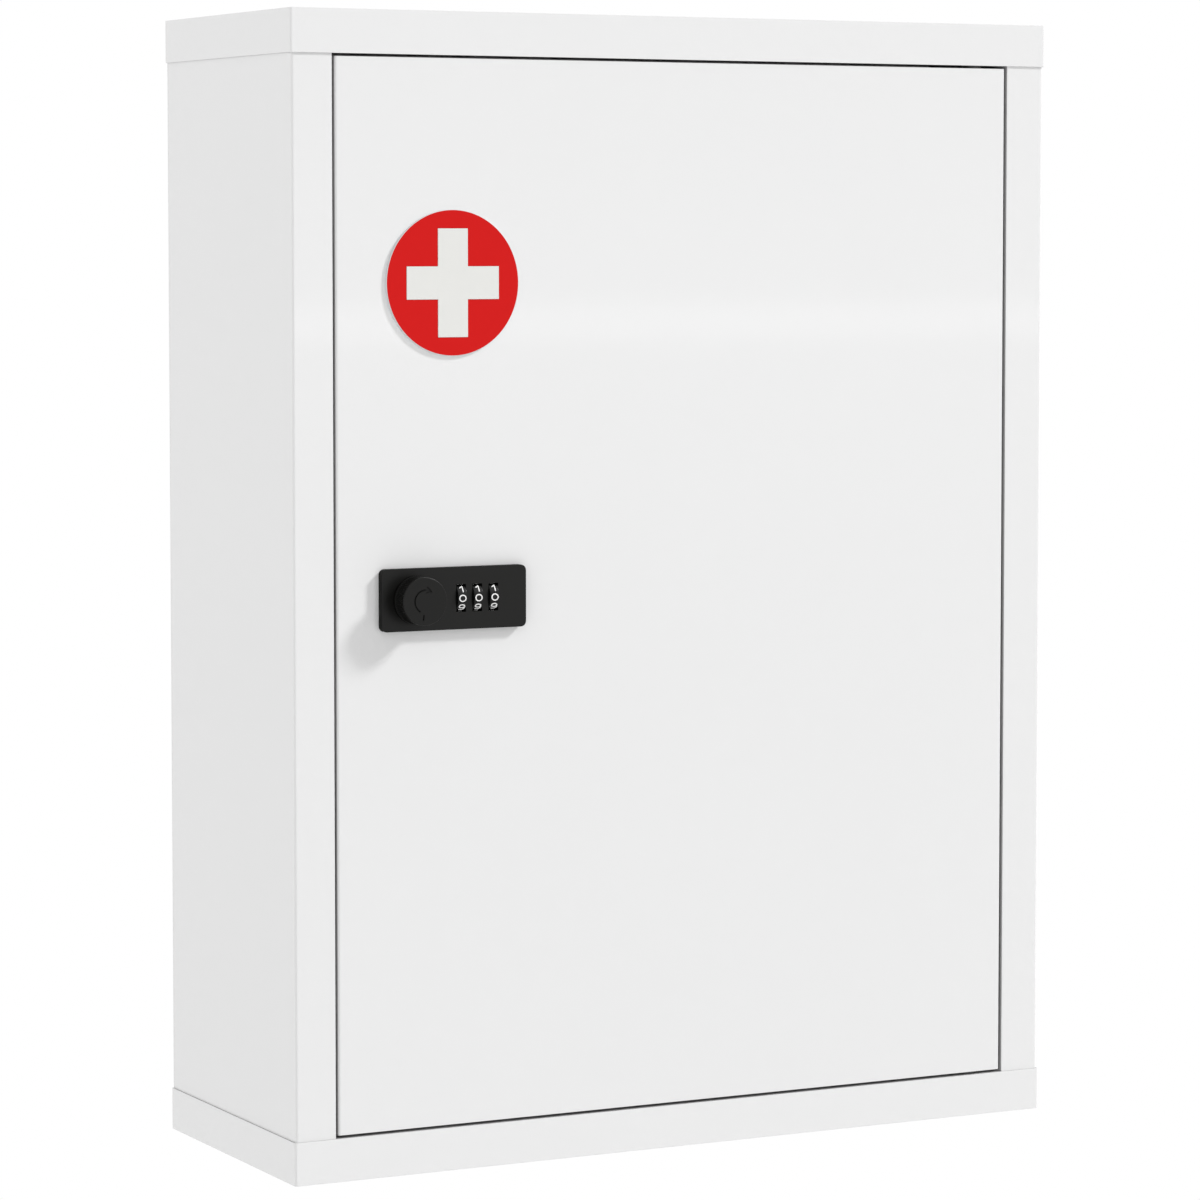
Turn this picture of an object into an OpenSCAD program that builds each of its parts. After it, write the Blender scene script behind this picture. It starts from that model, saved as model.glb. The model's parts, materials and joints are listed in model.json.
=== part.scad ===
// Wall-hung medicine cabinet of folded steel sheet. Its door turns on two hidden pivots at the
// right, and a combination lock with three dials and a turning knob holds it at the left.
// Frame: +X to the viewer's right, +Y into the wall, +Z up. The origin is the middle of the four
// wall holes, on the plane of the wall. Every node is drawn where it sits with the door shut and
// the lock open.

/* [Cabinet] */
// Width across the caps
cabinet_w = 300; // [270:1:450]
// Height over the caps
cabinet_h = 400; // [340:1:700]
// Depth from the wall to the front of the caps
cabinet_d = 112; // [104:1:220]
// Thickness of the steel sheet of the cabinet and the door
sheet = 0.6; // [0.5:0.1:1]
// Inside radius of the folds that show
fold_r = 0.3; // [0.2:0.1:1]
// Height of the skirts of the two caps
cap_skirt = 15; // [12:1:30]
// Front frame beside the lock, from the cap's edge to the opening
lock_stile = 15.5; // [12:0.1:30]
// Front frame beside the pivots, from the cap's edge to the opening
hinge_stile = 15.8; // [12:0.1:30]
// Width of the jamb's rear lip, which the lock's tongue catches
jamb_lip = 8; // [5:0.5:10]
// Width of the sides' flange behind, on the back panel
rear_flange = 12; // [8:1:20]

/* [Wall fixing] */
// Wall holes, from the cabinet's left and right edges
wall_hole_side = 50; // [30:1:80]
// Wall holes, from the cabinet's top and bottom
wall_hole_end = 40; // [30:1:80]
// Diameter of the wall holes
wall_hole_d = 7; // [4:0.5:10]

/* [Door] */
// Gap all round the door
door_gap = 1; // [0.8:0.1:2]
// Depth of the door, a folded pan
door_d = 12; // [10:0.5:14]
// Width of the lip round the back of the door
door_lip = 10; // [6:1:20]
// Distance from the door's right edge to the pivot axis
pivot_inset = 12; // [10:0.5:16]
// Diameter of the pivot pins
pivot_pin_d = 4; // [3:0.1:4.5]
// Wall of the plastic pivot bushes
bush_wall = 1.15; // [0.8:0.05:1.4]
// Length of the bushes below the face of the door's edge
bush_len = 7; // [5:0.5:12]
// Thickness of the hinge plates
hinge_plate_t = 2; // [1.5:0.5:4]
// Width of the hinge plates
hinge_plate_w = 28; // [24:1:40]
// Width of the stiffener behind the door's skin
stiffener_w = 40; // [30:1:60]
// Depth of the stiffener
stiffener_d = 9; // [6:0.5:10]
// Height of the rubber buffers that the door closes on
buffer_t = 1.5; // [1:0.1:3]
// Diameter of the rubber buffers
buffer_d = 5; // [4:0.5:5.5]
// Height of the lip that carries the buffers
stop_lip = 6; // [6:0.5:10]

/* [Sign] */
// Diameter of the round sign
sign_d = 50; // [40:1:60]
// Thickness of the round sign
sign_t = 1; // [0.8:0.1:2]
// Centre of the sign, from the door's left edge
sign_inset = 43.5; // [30:0.5:80]
// Centre of the sign, below the top of the cabinet
sign_drop = 92.6; // [60:0.1:140]
// Width of the cross
cross_w = 34.9; // [30:0.1:38]
// Height of the cross
cross_h = 37.2; // [30:0.1:38]
// Width of the arms of the cross
cross_arm = 11.3; // [8:0.1:14]

/* [Shelves] */
// Number of shelves
shelf_count = 2; // [2:1:3]
// Shelves' front edge, behind the front of the cabinet
shelf_setback = 24; // [21:1:60]
// Thickness of the shelf sheet
shelf_sheet = 0.8; // [0.6:0.1:1.2]
// Height of a shelf's folded edges
shelf_fold = 12; // [8:1:20]
// Ends of the ledges, from the shelf's front and rear edges
ledge_inset = 12; // [4:1:24]
// Width and height of the ledges
ledge_leg = 10; // [6:1:16]

/* [Lock] */
// Height of the lock's front plate
lock_h = 21.5; // [20:0.5:30]
// Thickness of the lock's front plate
lock_t = 2.8; // [2.4:0.1:4]
// Corner radius of the lock's front plate
lock_corner = 2; // [1:0.5:4]
// Left edge of the front plate, from the door's left edge
lock_inset = 15.6; // [14:0.1:20]
// Centre of the lock, below the middle of the door
lock_drop = 0.8; // [0:0.1:40]
// Width of the plate's ears, beyond both ends of the lock's body
lock_ear = 4.7; // [4.2:0.1:6.5]
// Wall of the lock's body above and below the dials' bay
lock_wall = 1.4; // [1:0.1:2]
// Thickness of the lock's rear cover
cover_t = 1.2; // [1:0.1:2]
// Centre of the knob, from the plate's left edge
knob_inset = 12.6; // [11.5:0.1:14]
// Diameter of the knob
knob_d = 16.5; // [14:0.1:17]
// How far the knob stands out from the plate
knob_out = 8; // [5.5:0.1:12]
// Diameter of the knob's spindle
spindle_d = 7; // [6:0.1:7.4]
// How far the turned tongue reaches behind the stile
tongue_bite = 10.4; // [6:0.1:12]
// Width of the tongue
tongue_w = 12; // [9:0.5:14]
// Thickness of the tongue
tongue_t = 2.2; // [1.5:0.1:3]
// Depth of the flats that make the spindle's end square
square_cut = 1.2; // [1.05:0.05:1.5]

/* [Dials] */
// Centre of the first dial, from the plate's left edge
dial_first = 29.9; // [27:0.1:34]
// Distance between the dials
dial_pitch = 6.15; // [5.4:0.05:7]
// Centre of the last dial, from the plate's right edge
dial_last = 12.6; // [11.2:0.1:18]
// Diameter of the dials
dial_d = 10.8; // [9.5:0.1:12]
// Width of the dials
dial_w = 3.4; // [3:0.1:3.8]
// Diameter of the dials' axle
axle_d = 2.4; // [2:0.1:3]
// How far the dials stand out from the plate
dial_out = 1.4; // [0.8:0.1:1.6]
// Gap between a dial and the ends of its window
window_end = 0.3; // [0.2:0.1:1]
// How far the locking bar moves while the knob makes its quarter turn
bar_travel = 0.9; // [0.6:0.1:1]

/* [Hidden] */
$fn = 64;

// Clearances
seat_gap = 0.05;   // round a piece that is held fast in its hole
run_gap = 0.05;    // round a shaft that turns in its hole
small_gap = 0.15;  // beside a part that slides or turns past another
body_gap = 0.3;    // round a body that is dropped into a cut-out
cut = 1;           // how far a cutter passes the face that it cuts

// The cabinet's planes
half_w = cabinet_w / 2;
half_h = cabinet_h / 2;
cap_front = -cabinet_d;
body_front = cap_front + sheet;
side_face = half_w - sheet;
side_inner = side_face - sheet;
panel_front = -sheet;
inner_back = panel_front - sheet;
bend = sheet + fold_r;
wall_hole_x = half_w - wall_hole_side;
wall_hole_z = half_h - wall_hole_end;

// The opening and the door
open_left = -half_w + lock_stile;
open_right = half_w - hinge_stile;
open_top = half_h - cap_skirt;
door_left = open_left + door_gap;
door_right = open_right - door_gap;
door_top = open_top - door_gap;
door_back = body_front + door_d;
jamb_d = door_d;
jamb_back = body_front + jamb_d;
stop_front = door_back + buffer_t;
buffer_squeeze = 0.1;  // free play of the shut door at its buffers

// The pivots
bush_r = pivot_pin_d / 2 + run_gap + bush_wall;
bush_skin_gap = 0.2;   // between the bush and the door's skin
pivot_x = door_right - pivot_inset;
pivot_y = body_front + sheet + bush_skin_gap + bush_r;
bush_flange_r = bush_r + 0.55;
bush_play = 0.1;       // between the bush's flange and the cap
pin_head_r = pivot_pin_d / 2 + 1.2;
pin_head_t = 1;
rivet_r = 1.6;
rivet_head_r = 2.8;
rivet_head_t = 0.8;
hinge_plate_right = 8; // from the pivot axis to the plate's right end
rivet_room = hinge_plate_w - hinge_plate_right - pin_head_r;  // beside the pin's head
stop_end = pivot_x - pivot_inset;  // the stop lip ends clear of the door's turning edge
buffer_reach = 30;     // from the opening's left edge to the last buffer
buffer_step = 20;      // between two buffers

// The shelves
shelf_side_gap = 0.8;
shelf_back_gap = 0.8;
shelf_half_w = side_inner - shelf_side_gap;
shelf_rear = inner_back - shelf_back_gap;
shelf_front = cap_front + shelf_setback;
inside_top = half_h - sheet;
shelf_step = 2 * inside_top / (shelf_count + 1);
ledge_t = 1;

// The sign
sign_x = door_left + sign_inset;
sign_z = half_h - sign_drop;
inlay_depth = 0.5;
inlay_proud = 0.1;

// The lock's front. Its own x is counted from the middle of the plate.
dial_count = 3;
lock_w = dial_first + (dial_count - 1) * dial_pitch + dial_last;
lock_x = door_left + lock_inset + lock_w / 2;
lock_z = -lock_drop;
plate_front = body_front - lock_t;
knob_u = knob_inset - lock_w / 2;
body_half_w = lock_w / 2 - lock_ear;
knob_play = small_gap;            // under the knob
clamp_t = 1.5;
clamp_w = lock_w + 2;
clamp_h = lock_h + 3;
clamp_screw_u = (body_half_w + lock_w / 2) / 2;
clamp_screw_r = 1.25;
clamp_head_r = lock_ear / 2 - small_gap;
clamp_head_t = 1.3;
clamp_hole_r = 1.4;
clamp_bite = 2;                   // how far the screws go into the plate
cover_screw_r = 1;
cover_head_r = 1.8;
cover_head_t = 0.8;
cover_screw_len = 7;
cover_screw_inset = 1.8;          // from the body's edges to the screws

// The dials
face_wall = 1;                    // plate left in front of the dials
window_w = dial_w + 2 * small_gap;
dial_core = dial_d / 2 - dial_out - face_wall;  // from the axle's centre to the back of that wall
window_h = 2 * (sqrt(pow(dial_d / 2, 2) - pow(dial_core, 2)) + window_end);
dial_y = plate_front - dial_out + dial_d / 2;
dial_u = [for (i = [0 : dial_count - 1]) dial_first - lock_w / 2 + i * dial_pitch];
sleeve_r = dial_core - small_gap;
sleeve_w = dial_pitch - dial_w - 2 * small_gap;
notch_w = 1.4;
notch_floor = axle_d / 2 + 0.7;   // from the axle's centre to the floor of the notch
bay_left = dial_u[0] - dial_w / 2 - sleeve_w - 0.4;
bay_right = dial_u[dial_count - 1] + dial_w / 2 + 2;
bay_half_h = dial_d / 2 + 1.3;
body_half_h = bay_half_h + lock_wall;
axle_seat = 3;

// The locking bar and the cam on the spindle that moves it. The cam's edge gains bar_travel in a
// quarter turn, at an even rate, so the bar follows the knob in proportion.
quarter = 90;
bar_front = dial_y + dial_d / 2 + 0.5;
bar_t = 1.6;
bar_h = 4.8;
cam_low_r = spindle_d / 2 + 0.9;
cam_lead = 20;                    // the rising edge runs on past both ends of the quarter turn
cam_room_r = cam_low_r + bar_travel * (quarter + cam_lead) / quarter + body_gap;
bar_start = knob_u + cam_low_r + small_gap;
fin_t = 0.8;
fin_h = 2.4;
fin_side = (dial_pitch - dial_w - fin_t - bar_travel) / 2;
fin_tip = dial_y + sleeve_r + 0.35;
bar_end = dial_u[dial_count - 1] - dial_w / 2;
leaf_t = 0.3;
leaf_u = bar_end + bar_travel + small_gap;
bar_room = 1;                     // behind the bar
cover_front = bar_front + bar_t + bar_room;
lock_rear = cover_front + cover_t;
detent_t = 0.3;
detent_r = 0.4;
detent_d = 4;

// The tongue passes behind the lock's cover and the jamb
tongue_front = max(lock_rear, jamb_back) + body_gap;
tongue_len = lock_x + knob_u - open_left + tongue_bite;
square_end = spindle_d - 2 * square_cut;
tongue_hub_r = 7;
washer_r = 5;
washer_t = 0.8;
tongue_screw_r = 1.5;
tongue_screw_head_r = 3;
tongue_screw_head_t = 1.8;
tongue_screw_len = 8;
knob_bore_depth = knob_out - 2;
knob_edge = 0.6;

// A box from its lowest corner to its highest corner
module block(low, high) {
  translate(low) cube(high - low);
}

// An upright sheet across the part, from y0 to y1, with rounded corners
module upright_plate(w, h, y0, y1, r) {
  translate([0, y1, 0]) rotate([90, 0, 0]) linear_extrude(y1 - y0) union() {
    square([w - 2 * r, h], center = true);
    square([w, h - 2 * r], center = true);
    for (sx = [-1, 1], sz = [-1, 1]) translate([sx * (w / 2 - r), sz * (h / 2 - r)]) circle(r);
  }
}

// A round bar along Y from y0 to y1
module bar_y(r, y0, y1) {
  translate([0, y1, 0]) rotate([90, 0, 0]) cylinder(r = r, h = y1 - y0);
}

// A round bar along X from x0 to x1
module bar_x(r, x0, x1) {
  translate([x0, 0, 0]) rotate([0, 90, 0]) cylinder(r = r, h = x1 - x0);
}

// Plan of a folded pan: a rectangle whose two front corners are rounded
module pan_plan(x0, x1, y0, y1, r) {
  translate([x0, y0 + r]) square([x1 - x0, y1 - y0 - r]);
  translate([x0 + r, y0]) square([x1 - x0 - 2 * r, 2 * r]);
  for (x = [x0 + r, x1 - r]) translate([x, y0 + r]) circle(r);
}

// The top cap: a tray whose skirts lie over the sides, folded back over the door opening, with a
// lip behind that carries the door's buffers
module cap() {
  difference() {
    union() {
      difference() {
        translate([0, 0, half_h - cap_skirt]) linear_extrude(cap_skirt)
          pan_plan(-half_w, half_w, cap_front, 0, bend);
        translate([0, 0, half_h - cap_skirt - cut]) linear_extrude(cap_skirt + cut - sheet)
          pan_plan(-side_face, side_face, body_front, cut, fold_r);
      }
      block([-side_inner, inner_back, open_top], [side_inner, panel_front, half_h - sheet / 2]);
      block([open_left, cap_front + sheet / 2, open_top],
        [open_right, stop_front + sheet, open_top + sheet]);
      block([open_left, stop_front, open_top - stop_lip],
        [stop_end, stop_front + sheet, open_top + sheet]);
    }
    translate([pivot_x, pivot_y, open_top - cut])
      cylinder(r = pivot_pin_d / 2 + small_gap, h = 3 * cut);
    rivet_places() translate([0, 0, open_top - cut]) cylinder(r = rivet_r + seat_gap, h = 3 * cut);
  }
}

// A side sheet with its front stile, jamb and rear flange, drawn at the left
module side_sheet(stile) {
  edge = -half_w + stile;
  tall = 2 * (half_h - sheet);
  translate([0, 0, -tall / 2]) linear_extrude(tall) {
    translate([-side_face, body_front + bend]) square([sheet, panel_front - body_front - bend]);
    translate([-side_face + bend, body_front]) square([edge + side_face - bend, sheet]);
    translate([-side_face + bend, body_front + bend]) intersection() {
      difference() {
        circle(bend);
        circle(fold_r);
      }
      translate([-bend - cut, -bend - cut]) square(bend + cut);
    }
    translate([edge - sheet, body_front]) square([sheet, jamb_d]);
    translate([edge - jamb_lip, jamb_back - sheet]) square([jamb_lip, sheet]);
  }
  block([-side_face, inner_back, -open_top + small_gap],
    [-side_face + rear_flange, panel_front, open_top - small_gap]);
}

// Two rivets share the room that the pin's head leaves on the hinge plate
module rivet_places() {
  for (share = [1 / 4, 3 / 4])
    translate([pivot_x - pin_head_r - share * rivet_room, pivot_y, 0]) children();
}

// The hinge plate lies on the folded edge of the cap
module hinge_plate() {
  difference() {
    translate([pivot_x + hinge_plate_right - hinge_plate_w, body_front + small_gap, open_top + sheet])
      cube([hinge_plate_w, stop_front - body_front - small_gap, hinge_plate_t]);
    translate([pivot_x, pivot_y, open_top])
      cylinder(r = pivot_pin_d / 2 + seat_gap, h = hinge_plate_t + sheet + cut);
    rivet_places() translate([0, 0, open_top])
      cylinder(r = rivet_r + seat_gap, h = hinge_plate_t + sheet + cut);
  }
}

module hinge_rivet() {
  translate([0, 0, open_top]) cylinder(r = rivet_r, h = sheet + hinge_plate_t + rivet_head_t);
  translate([0, 0, open_top + sheet + hinge_plate_t]) cylinder(r = rivet_head_r, h = rivet_head_t);
}

module pivot_pin() {
  plate_top = open_top + sheet + hinge_plate_t;
  translate([pivot_x, pivot_y, door_top - bush_len])
    cylinder(r = pivot_pin_d / 2, h = plate_top - door_top + bush_len + pin_head_t);
  translate([pivot_x, pivot_y, plate_top]) cylinder(r = pin_head_r, h = pin_head_t);
}

module pivot_bush() {
  translate([pivot_x, pivot_y, 0]) difference() {
    union() {
      translate([0, 0, door_top - bush_len]) cylinder(r = bush_r, h = bush_len);
      translate([0, 0, door_top]) cylinder(r = bush_flange_r, h = door_gap - bush_play);
    }
    translate([0, 0, door_top - bush_len - cut])
      cylinder(r = pivot_pin_d / 2 + run_gap, h = bush_len + door_gap + 2 * cut);
  }
}

// A shelf with its front and rear edges folded down. z is its upper face.
module shelf(z) {
  block([-shelf_half_w, shelf_front, z - shelf_sheet], [shelf_half_w, shelf_rear, z]);
  for (y = [shelf_front, shelf_rear - shelf_sheet])
    block([-shelf_half_w, y, z - shelf_fold], [shelf_half_w, y + shelf_sheet, z]);
}

function shelf_z(i) = inside_top - i * shelf_step;

// An angle on the left side that carries one end of a shelf
module ledge(z) {
  front = shelf_front + ledge_inset;
  rear = shelf_rear - ledge_inset;
  block([-side_inner, front, z - ledge_t], [-side_inner + ledge_leg, rear, z]);
  block([-side_inner, front, z - ledge_leg], [-side_inner + ledge_t, rear, z]);
}

module top_cap() {
  color("whitesmoke") cap();
}

module bottom_cap() {
  color("whitesmoke") mirror([0, 0, 1]) cap();
}

module left_side() {
  color("gainsboro") side_sheet(lock_stile);
}

module right_side() {
  color("gainsboro") mirror([1, 0, 0]) side_sheet(hinge_stile);
}

module back_panel() {
  color("gainsboro") difference() {
    block([-side_face, panel_front, -half_h + sheet], [side_face, 0, half_h - sheet]);
    for (sx = [-1, 1], sz = [-1, 1])
      translate([sx * wall_hole_x, 0, sz * wall_hole_z])
        bar_y(wall_hole_d / 2, panel_front - cut, cut);
  }
}

// The uppermost shelf, and the others below it
module upper_shelf() {
  color("whitesmoke") shelf(shelf_z(1));
}

module lower_shelf() {
  color("whitesmoke") for (i = [2 : 1 : shelf_count]) shelf(shelf_z(i));
}

module shelf_ledges() {
  color("gainsboro") for (i = [1 : shelf_count], turn = [0, 1])
    mirror([turn, 0, 0]) ledge(shelf_z(i) - shelf_sheet);
}

module upper_hinge_plate() {
  color("lightgray") hinge_plate();
}

module lower_hinge_plate() {
  color("lightgray") mirror([0, 0, 1]) hinge_plate();
}

module hinge_rivets() {
  color("silver") for (turn = [0, 1]) mirror([0, 0, turn]) rivet_places() hinge_rivet();
}

module upper_pivot_pin() {
  color("silver") pivot_pin();
}

module lower_pivot_pin() {
  color("silver") mirror([0, 0, 1]) pivot_pin();
}

module upper_pivot_bush() {
  color("dimgray") pivot_bush();
}

module lower_pivot_bush() {
  color("dimgray") mirror([0, 0, 1]) pivot_bush();
}

module door_buffers() {
  color("dimgray") for (turn = [0, 1], x = [open_left + buffer_reach - buffer_step : buffer_step
      : open_left + buffer_reach])
    mirror([0, 0, turn]) translate([x, 0, open_top - stop_lip / 2])
      bar_y(buffer_d / 2, door_back + buffer_squeeze, stop_front);
}

// The door: one sheet folded into a pan, with a lip round its back
module door_pan() {
  tall = 2 * door_top;
  color("whitesmoke") difference() {
    translate([0, 0, -door_top]) linear_extrude(tall)
      pan_plan(door_left, door_right, body_front, door_back, bend);
    translate([0, 0, -door_top + sheet]) linear_extrude(tall - 2 * sheet)
      pan_plan(door_left + sheet, door_right - sheet, body_front + sheet, door_back - sheet, fold_r);
    block([door_left + door_lip, door_back - sheet - cut, -door_top + door_lip],
      [door_right - door_lip, door_back + cut, door_top - door_lip]);
    for (z = [-door_top - cut, door_top - sheet - cut]) translate([pivot_x, pivot_y, z])
      cylinder(r = bush_r + seat_gap, h = sheet + 2 * cut);
    translate([lock_x, 0, lock_z]) {
      lock_cutout(body_front - cut, body_front + sheet + cut);
      clamp_places() bar_y(clamp_hole_r, body_front - cut, body_front + sheet + cut);
    }
  }
}

// A top-hat section behind the skin, in the middle of the door
module door_stiffener() {
  middle = (door_left + door_right) / 2 + stiffener_w / 2;
  crown = stiffener_w / 2;
  y0 = body_front + sheet;
  tall = 2 * (door_top - door_lip - sheet);
  color("gainsboro") translate([middle, 0, -tall / 2]) linear_extrude(tall) {
    for (side = [0, 1]) mirror([side, 0]) {
      translate([crown / 2, y0]) square([(stiffener_w - crown) / 2, sheet]);
      translate([crown / 2, y0]) square([sheet, stiffener_d]);
    }
    translate([-crown / 2, y0 + stiffener_d - sheet]) square([crown, sheet]);
  }
}

module cross_outline(grow) {
  square([cross_w + 2 * grow, cross_arm + 2 * grow], center = true);
  square([cross_arm + 2 * grow, cross_h + 2 * grow], center = true);
}

module sign_disc() {
  color("firebrick") translate([sign_x, 0, sign_z]) difference() {
    bar_y(sign_d / 2, body_front - sign_t, body_front);
    translate([0, body_front - sign_t + inlay_depth, 0]) rotate([90, 0, 0])
      linear_extrude(inlay_depth + cut) cross_outline(seat_gap);
  }
}

module sign_cross() {
  color("white") translate([sign_x, body_front - sign_t + inlay_depth, sign_z]) rotate([90, 0, 0])
    linear_extrude(inlay_depth + inlay_proud) cross_outline(0);
}

// The hole that the lock's body is dropped into
module lock_cutout(y0, y1) {
  upright_plate(2 * (body_half_w + body_gap), 2 * (body_half_h + body_gap), y0, y1, fold_r);
}

module clamp_places() {
  for (side = [-1, 1]) translate([side * clamp_screw_u, 0, 0]) children();
}

module cover_screw_places() {
  for (u = [-body_half_w + cover_screw_inset, (bay_right + body_half_w) / 2], sz = [-1, 1])
    translate([u, 0, sz * (body_half_h - cover_screw_inset)]) children();
}

// The lock's front plate and body, moulded in one, with the dials' bay open behind
module lock_housing() {
  color("#2c2c2a") translate([lock_x, 0, lock_z]) difference() {
    union() {
      upright_plate(lock_w, lock_h, plate_front, body_front, lock_corner);
      block([-body_half_w, body_front - sheet, -body_half_h], [body_half_w, cover_front, body_half_h]);
    }
    block([bay_left, plate_front + face_wall, -bay_half_h], [bay_right, cover_front + cut, bay_half_h]);
    for (u = dial_u) block([u - window_w / 2, plate_front - cut, -window_h / 2],
      [u + window_w / 2, plate_front + face_wall + cut, window_h / 2]);
    translate([0, dial_y, 0]) bar_x(axle_d / 2 + seat_gap, bay_left - axle_seat, body_half_w + cut);
    translate([knob_u, 0, 0]) {
      bar_y(spindle_d / 2 + run_gap, plate_front - cut, cover_front + cut);
      bar_y(cam_room_r, bar_front - small_gap, cover_front + cut);
    }
    block([knob_u, bar_front - small_gap, -bar_h / 2 - small_gap],
      [bay_left + cut, cover_front + cut, bar_h / 2 + small_gap]);
    clamp_places() bar_y(clamp_screw_r + seat_gap, body_front - clamp_bite - small_gap, body_front + cut);
    cover_screw_places() bar_y(cover_screw_r + seat_gap, cover_front - cover_screw_len, cover_front + cut);
  }
}

module lock_clamp_plate() {
  y0 = body_front + sheet;
  color("silver") translate([lock_x, 0, lock_z]) difference() {
    upright_plate(clamp_w, clamp_h, y0, y0 + clamp_t, lock_corner);
    lock_cutout(y0 - cut, y0 + clamp_t + cut);
    clamp_places() bar_y(clamp_hole_r, y0 - cut, y0 + clamp_t + cut);
  }
}

module lock_clamp_screws() {
  seat = body_front + sheet + clamp_t;
  color("silver") translate([lock_x, 0, lock_z]) clamp_places() {
    bar_y(clamp_screw_r, body_front - clamp_bite, seat + clamp_head_t);
    bar_y(clamp_head_r, seat, seat + clamp_head_t);
  }
}

module lock_rear_cover() {
  color("#2c2c2a") translate([lock_x, 0, lock_z]) difference() {
    upright_plate(2 * body_half_w, 2 * body_half_h, cover_front, lock_rear, fold_r);
    translate([knob_u, 0, 0]) bar_y(spindle_d / 2 + run_gap, cover_front - cut, lock_rear + cut);
    cover_screw_places() {
      bar_y(cover_screw_r + seat_gap, cover_front - cut, lock_rear + cut);
      bar_y(cover_head_r + seat_gap, lock_rear - cover_head_t, lock_rear + cut);
    }
  }
}

module rear_cover_screws() {
  color("silver") translate([lock_x, 0, lock_z]) cover_screw_places() {
    bar_y(cover_screw_r, cover_front - cover_screw_len + small_gap, lock_rear);
    bar_y(cover_head_r, lock_rear - cover_head_t, lock_rear);
  }
}

module dial_axle() {
  color("silver") translate([lock_x, dial_y, lock_z]) bar_x(axle_d / 2, bay_left - axle_seat, body_half_w);
}

// One dial: a ring for ten digits, and at its left a sleeve with the notch of its number
module dial(i) {
  left = dial_u[i] - dial_w / 2;
  color("#111111") translate([lock_x, dial_y, lock_z]) difference() {
    union() {
      bar_x(dial_d / 2, left, left + dial_w);
      bar_x(sleeve_r, left - sleeve_w, left + dial_w);
    }
    bar_x(axle_d / 2 + run_gap, left - sleeve_w - cut, left + dial_w + cut);
    block([left - sleeve_w - cut, notch_floor, -notch_w / 2], [left, sleeve_r + cut, notch_w / 2]);
  }
}

module dial_wheel_left() {
  dial(0);
}

module dial_wheel_middle() {
  dial(1);
}

module dial_wheel_right() {
  dial(2);
}

// A strip above the dials with a ridge over each, which steadies it at its digits
module dial_detent_spring() {
  low = bay_half_h - detent_t;
  color("silver") translate([lock_x, dial_y, lock_z]) {
    block([bay_left + small_gap, -detent_d / 2, low],
      [dial_u[dial_count - 1] + dial_w / 2, detent_d / 2, bay_half_h]);
    for (u = dial_u) {
      translate([0, 0, dial_d / 2 + small_gap + detent_r]) bar_x(detent_r, u - dial_w / 4, u + dial_w / 4);
      block([u - dial_w / 4, -detent_r / 2, dial_d / 2 + small_gap + detent_r],
        [u + dial_w / 4, detent_r / 2, low + detent_t / 2]);
    }
  }
}

// The bar that reads the dials' notches, with one fin beside each dial
module locking_bar() {
  color("silver") translate([lock_x, 0, lock_z]) {
    block([bar_start, bar_front, -bar_h / 2], [bar_end, bar_front + bar_t, bar_h / 2]);
    for (u = dial_u) {
      start = u - dial_w / 2 - fin_side - bar_travel - fin_t;
      block([start, fin_tip, -fin_h / 2], [start + fin_t, bar_front + bar_t / 2, fin_h / 2]);
    }
  }
}

// A leaf across the bay that pushes the bar back
module locking_bar_spring() {
  color("silver") translate([lock_x, 0, lock_z])
    block([leaf_u, bar_front, -bay_half_h], [leaf_u + leaf_t, bar_front + bar_t, bay_half_h]);
}

module lock_knob() {
  color("#222220") translate([lock_x + knob_u, plate_front, lock_z]) difference() {
    rotate([90, 0, 0]) rotate_extrude() {
      translate([0, knob_play]) square([knob_d / 2, knob_out - knob_play - knob_edge]);
      translate([0, knob_play]) square([knob_d / 2 - knob_edge, knob_out - knob_play]);
      translate([knob_d / 2 - knob_edge, knob_out - knob_edge]) circle(knob_edge);
    }
    bar_y(spindle_d / 2 + seat_gap, -knob_bore_depth, cut);
  }
}

// Edge of the cam at the angle a above +X, with the lock open
function cam_edge(a) = cam_low_r + bar_travel * a / quarter;

module knob_spindle() {
  rim_step = 5;
  color("silver") translate([lock_x + knob_u, 0, lock_z]) difference() {
    union() {
      bar_y(spindle_d / 2, plate_front - knob_bore_depth, tongue_front);
      block([-square_end / 2, tongue_front - sheet, -square_end / 2],
        [square_end / 2, tongue_front + tongue_t - small_gap, square_end / 2]);
      translate([0, bar_front + bar_t - small_gap, 0]) rotate([90, 0, 0])
        linear_extrude(bar_t - 2 * small_gap) polygon(concat([[0, 0]],
          [for (a = [-cam_lead : rim_step : quarter + cam_lead]) cam_edge(a) * [cos(a), sin(a)]]));
    }
    bar_y(tongue_screw_r + seat_gap, tongue_front + tongue_t - tongue_screw_len, tongue_front + tongue_t);
  }
}

module lock_tongue() {
  color("silver") translate([lock_x + knob_u, tongue_front + tongue_t, lock_z]) rotate([90, 0, 0])
    linear_extrude(tongue_t) difference() {
      union() {
        circle(tongue_hub_r);
        translate([-tongue_w / 2, -tongue_len]) square([tongue_w, tongue_len]);
      }
      square(square_end + 2 * seat_gap, center = true);
    }
}

module tongue_washer() {
  y0 = tongue_front + tongue_t;
  color("silver") translate([lock_x + knob_u, 0, lock_z]) difference() {
    bar_y(washer_r, y0, y0 + washer_t);
    bar_y(tongue_screw_r + seat_gap, y0 - cut, y0 + washer_t + cut);
  }
}

module tongue_screw() {
  y0 = tongue_front + tongue_t + washer_t;
  color("silver") translate([lock_x + knob_u, 0, lock_z]) {
    bar_y(tongue_screw_r, y0 - tongue_screw_len, y0 + tongue_screw_head_t);
    bar_y(tongue_screw_head_r, y0, y0 + tongue_screw_head_t);
  }
}

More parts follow.
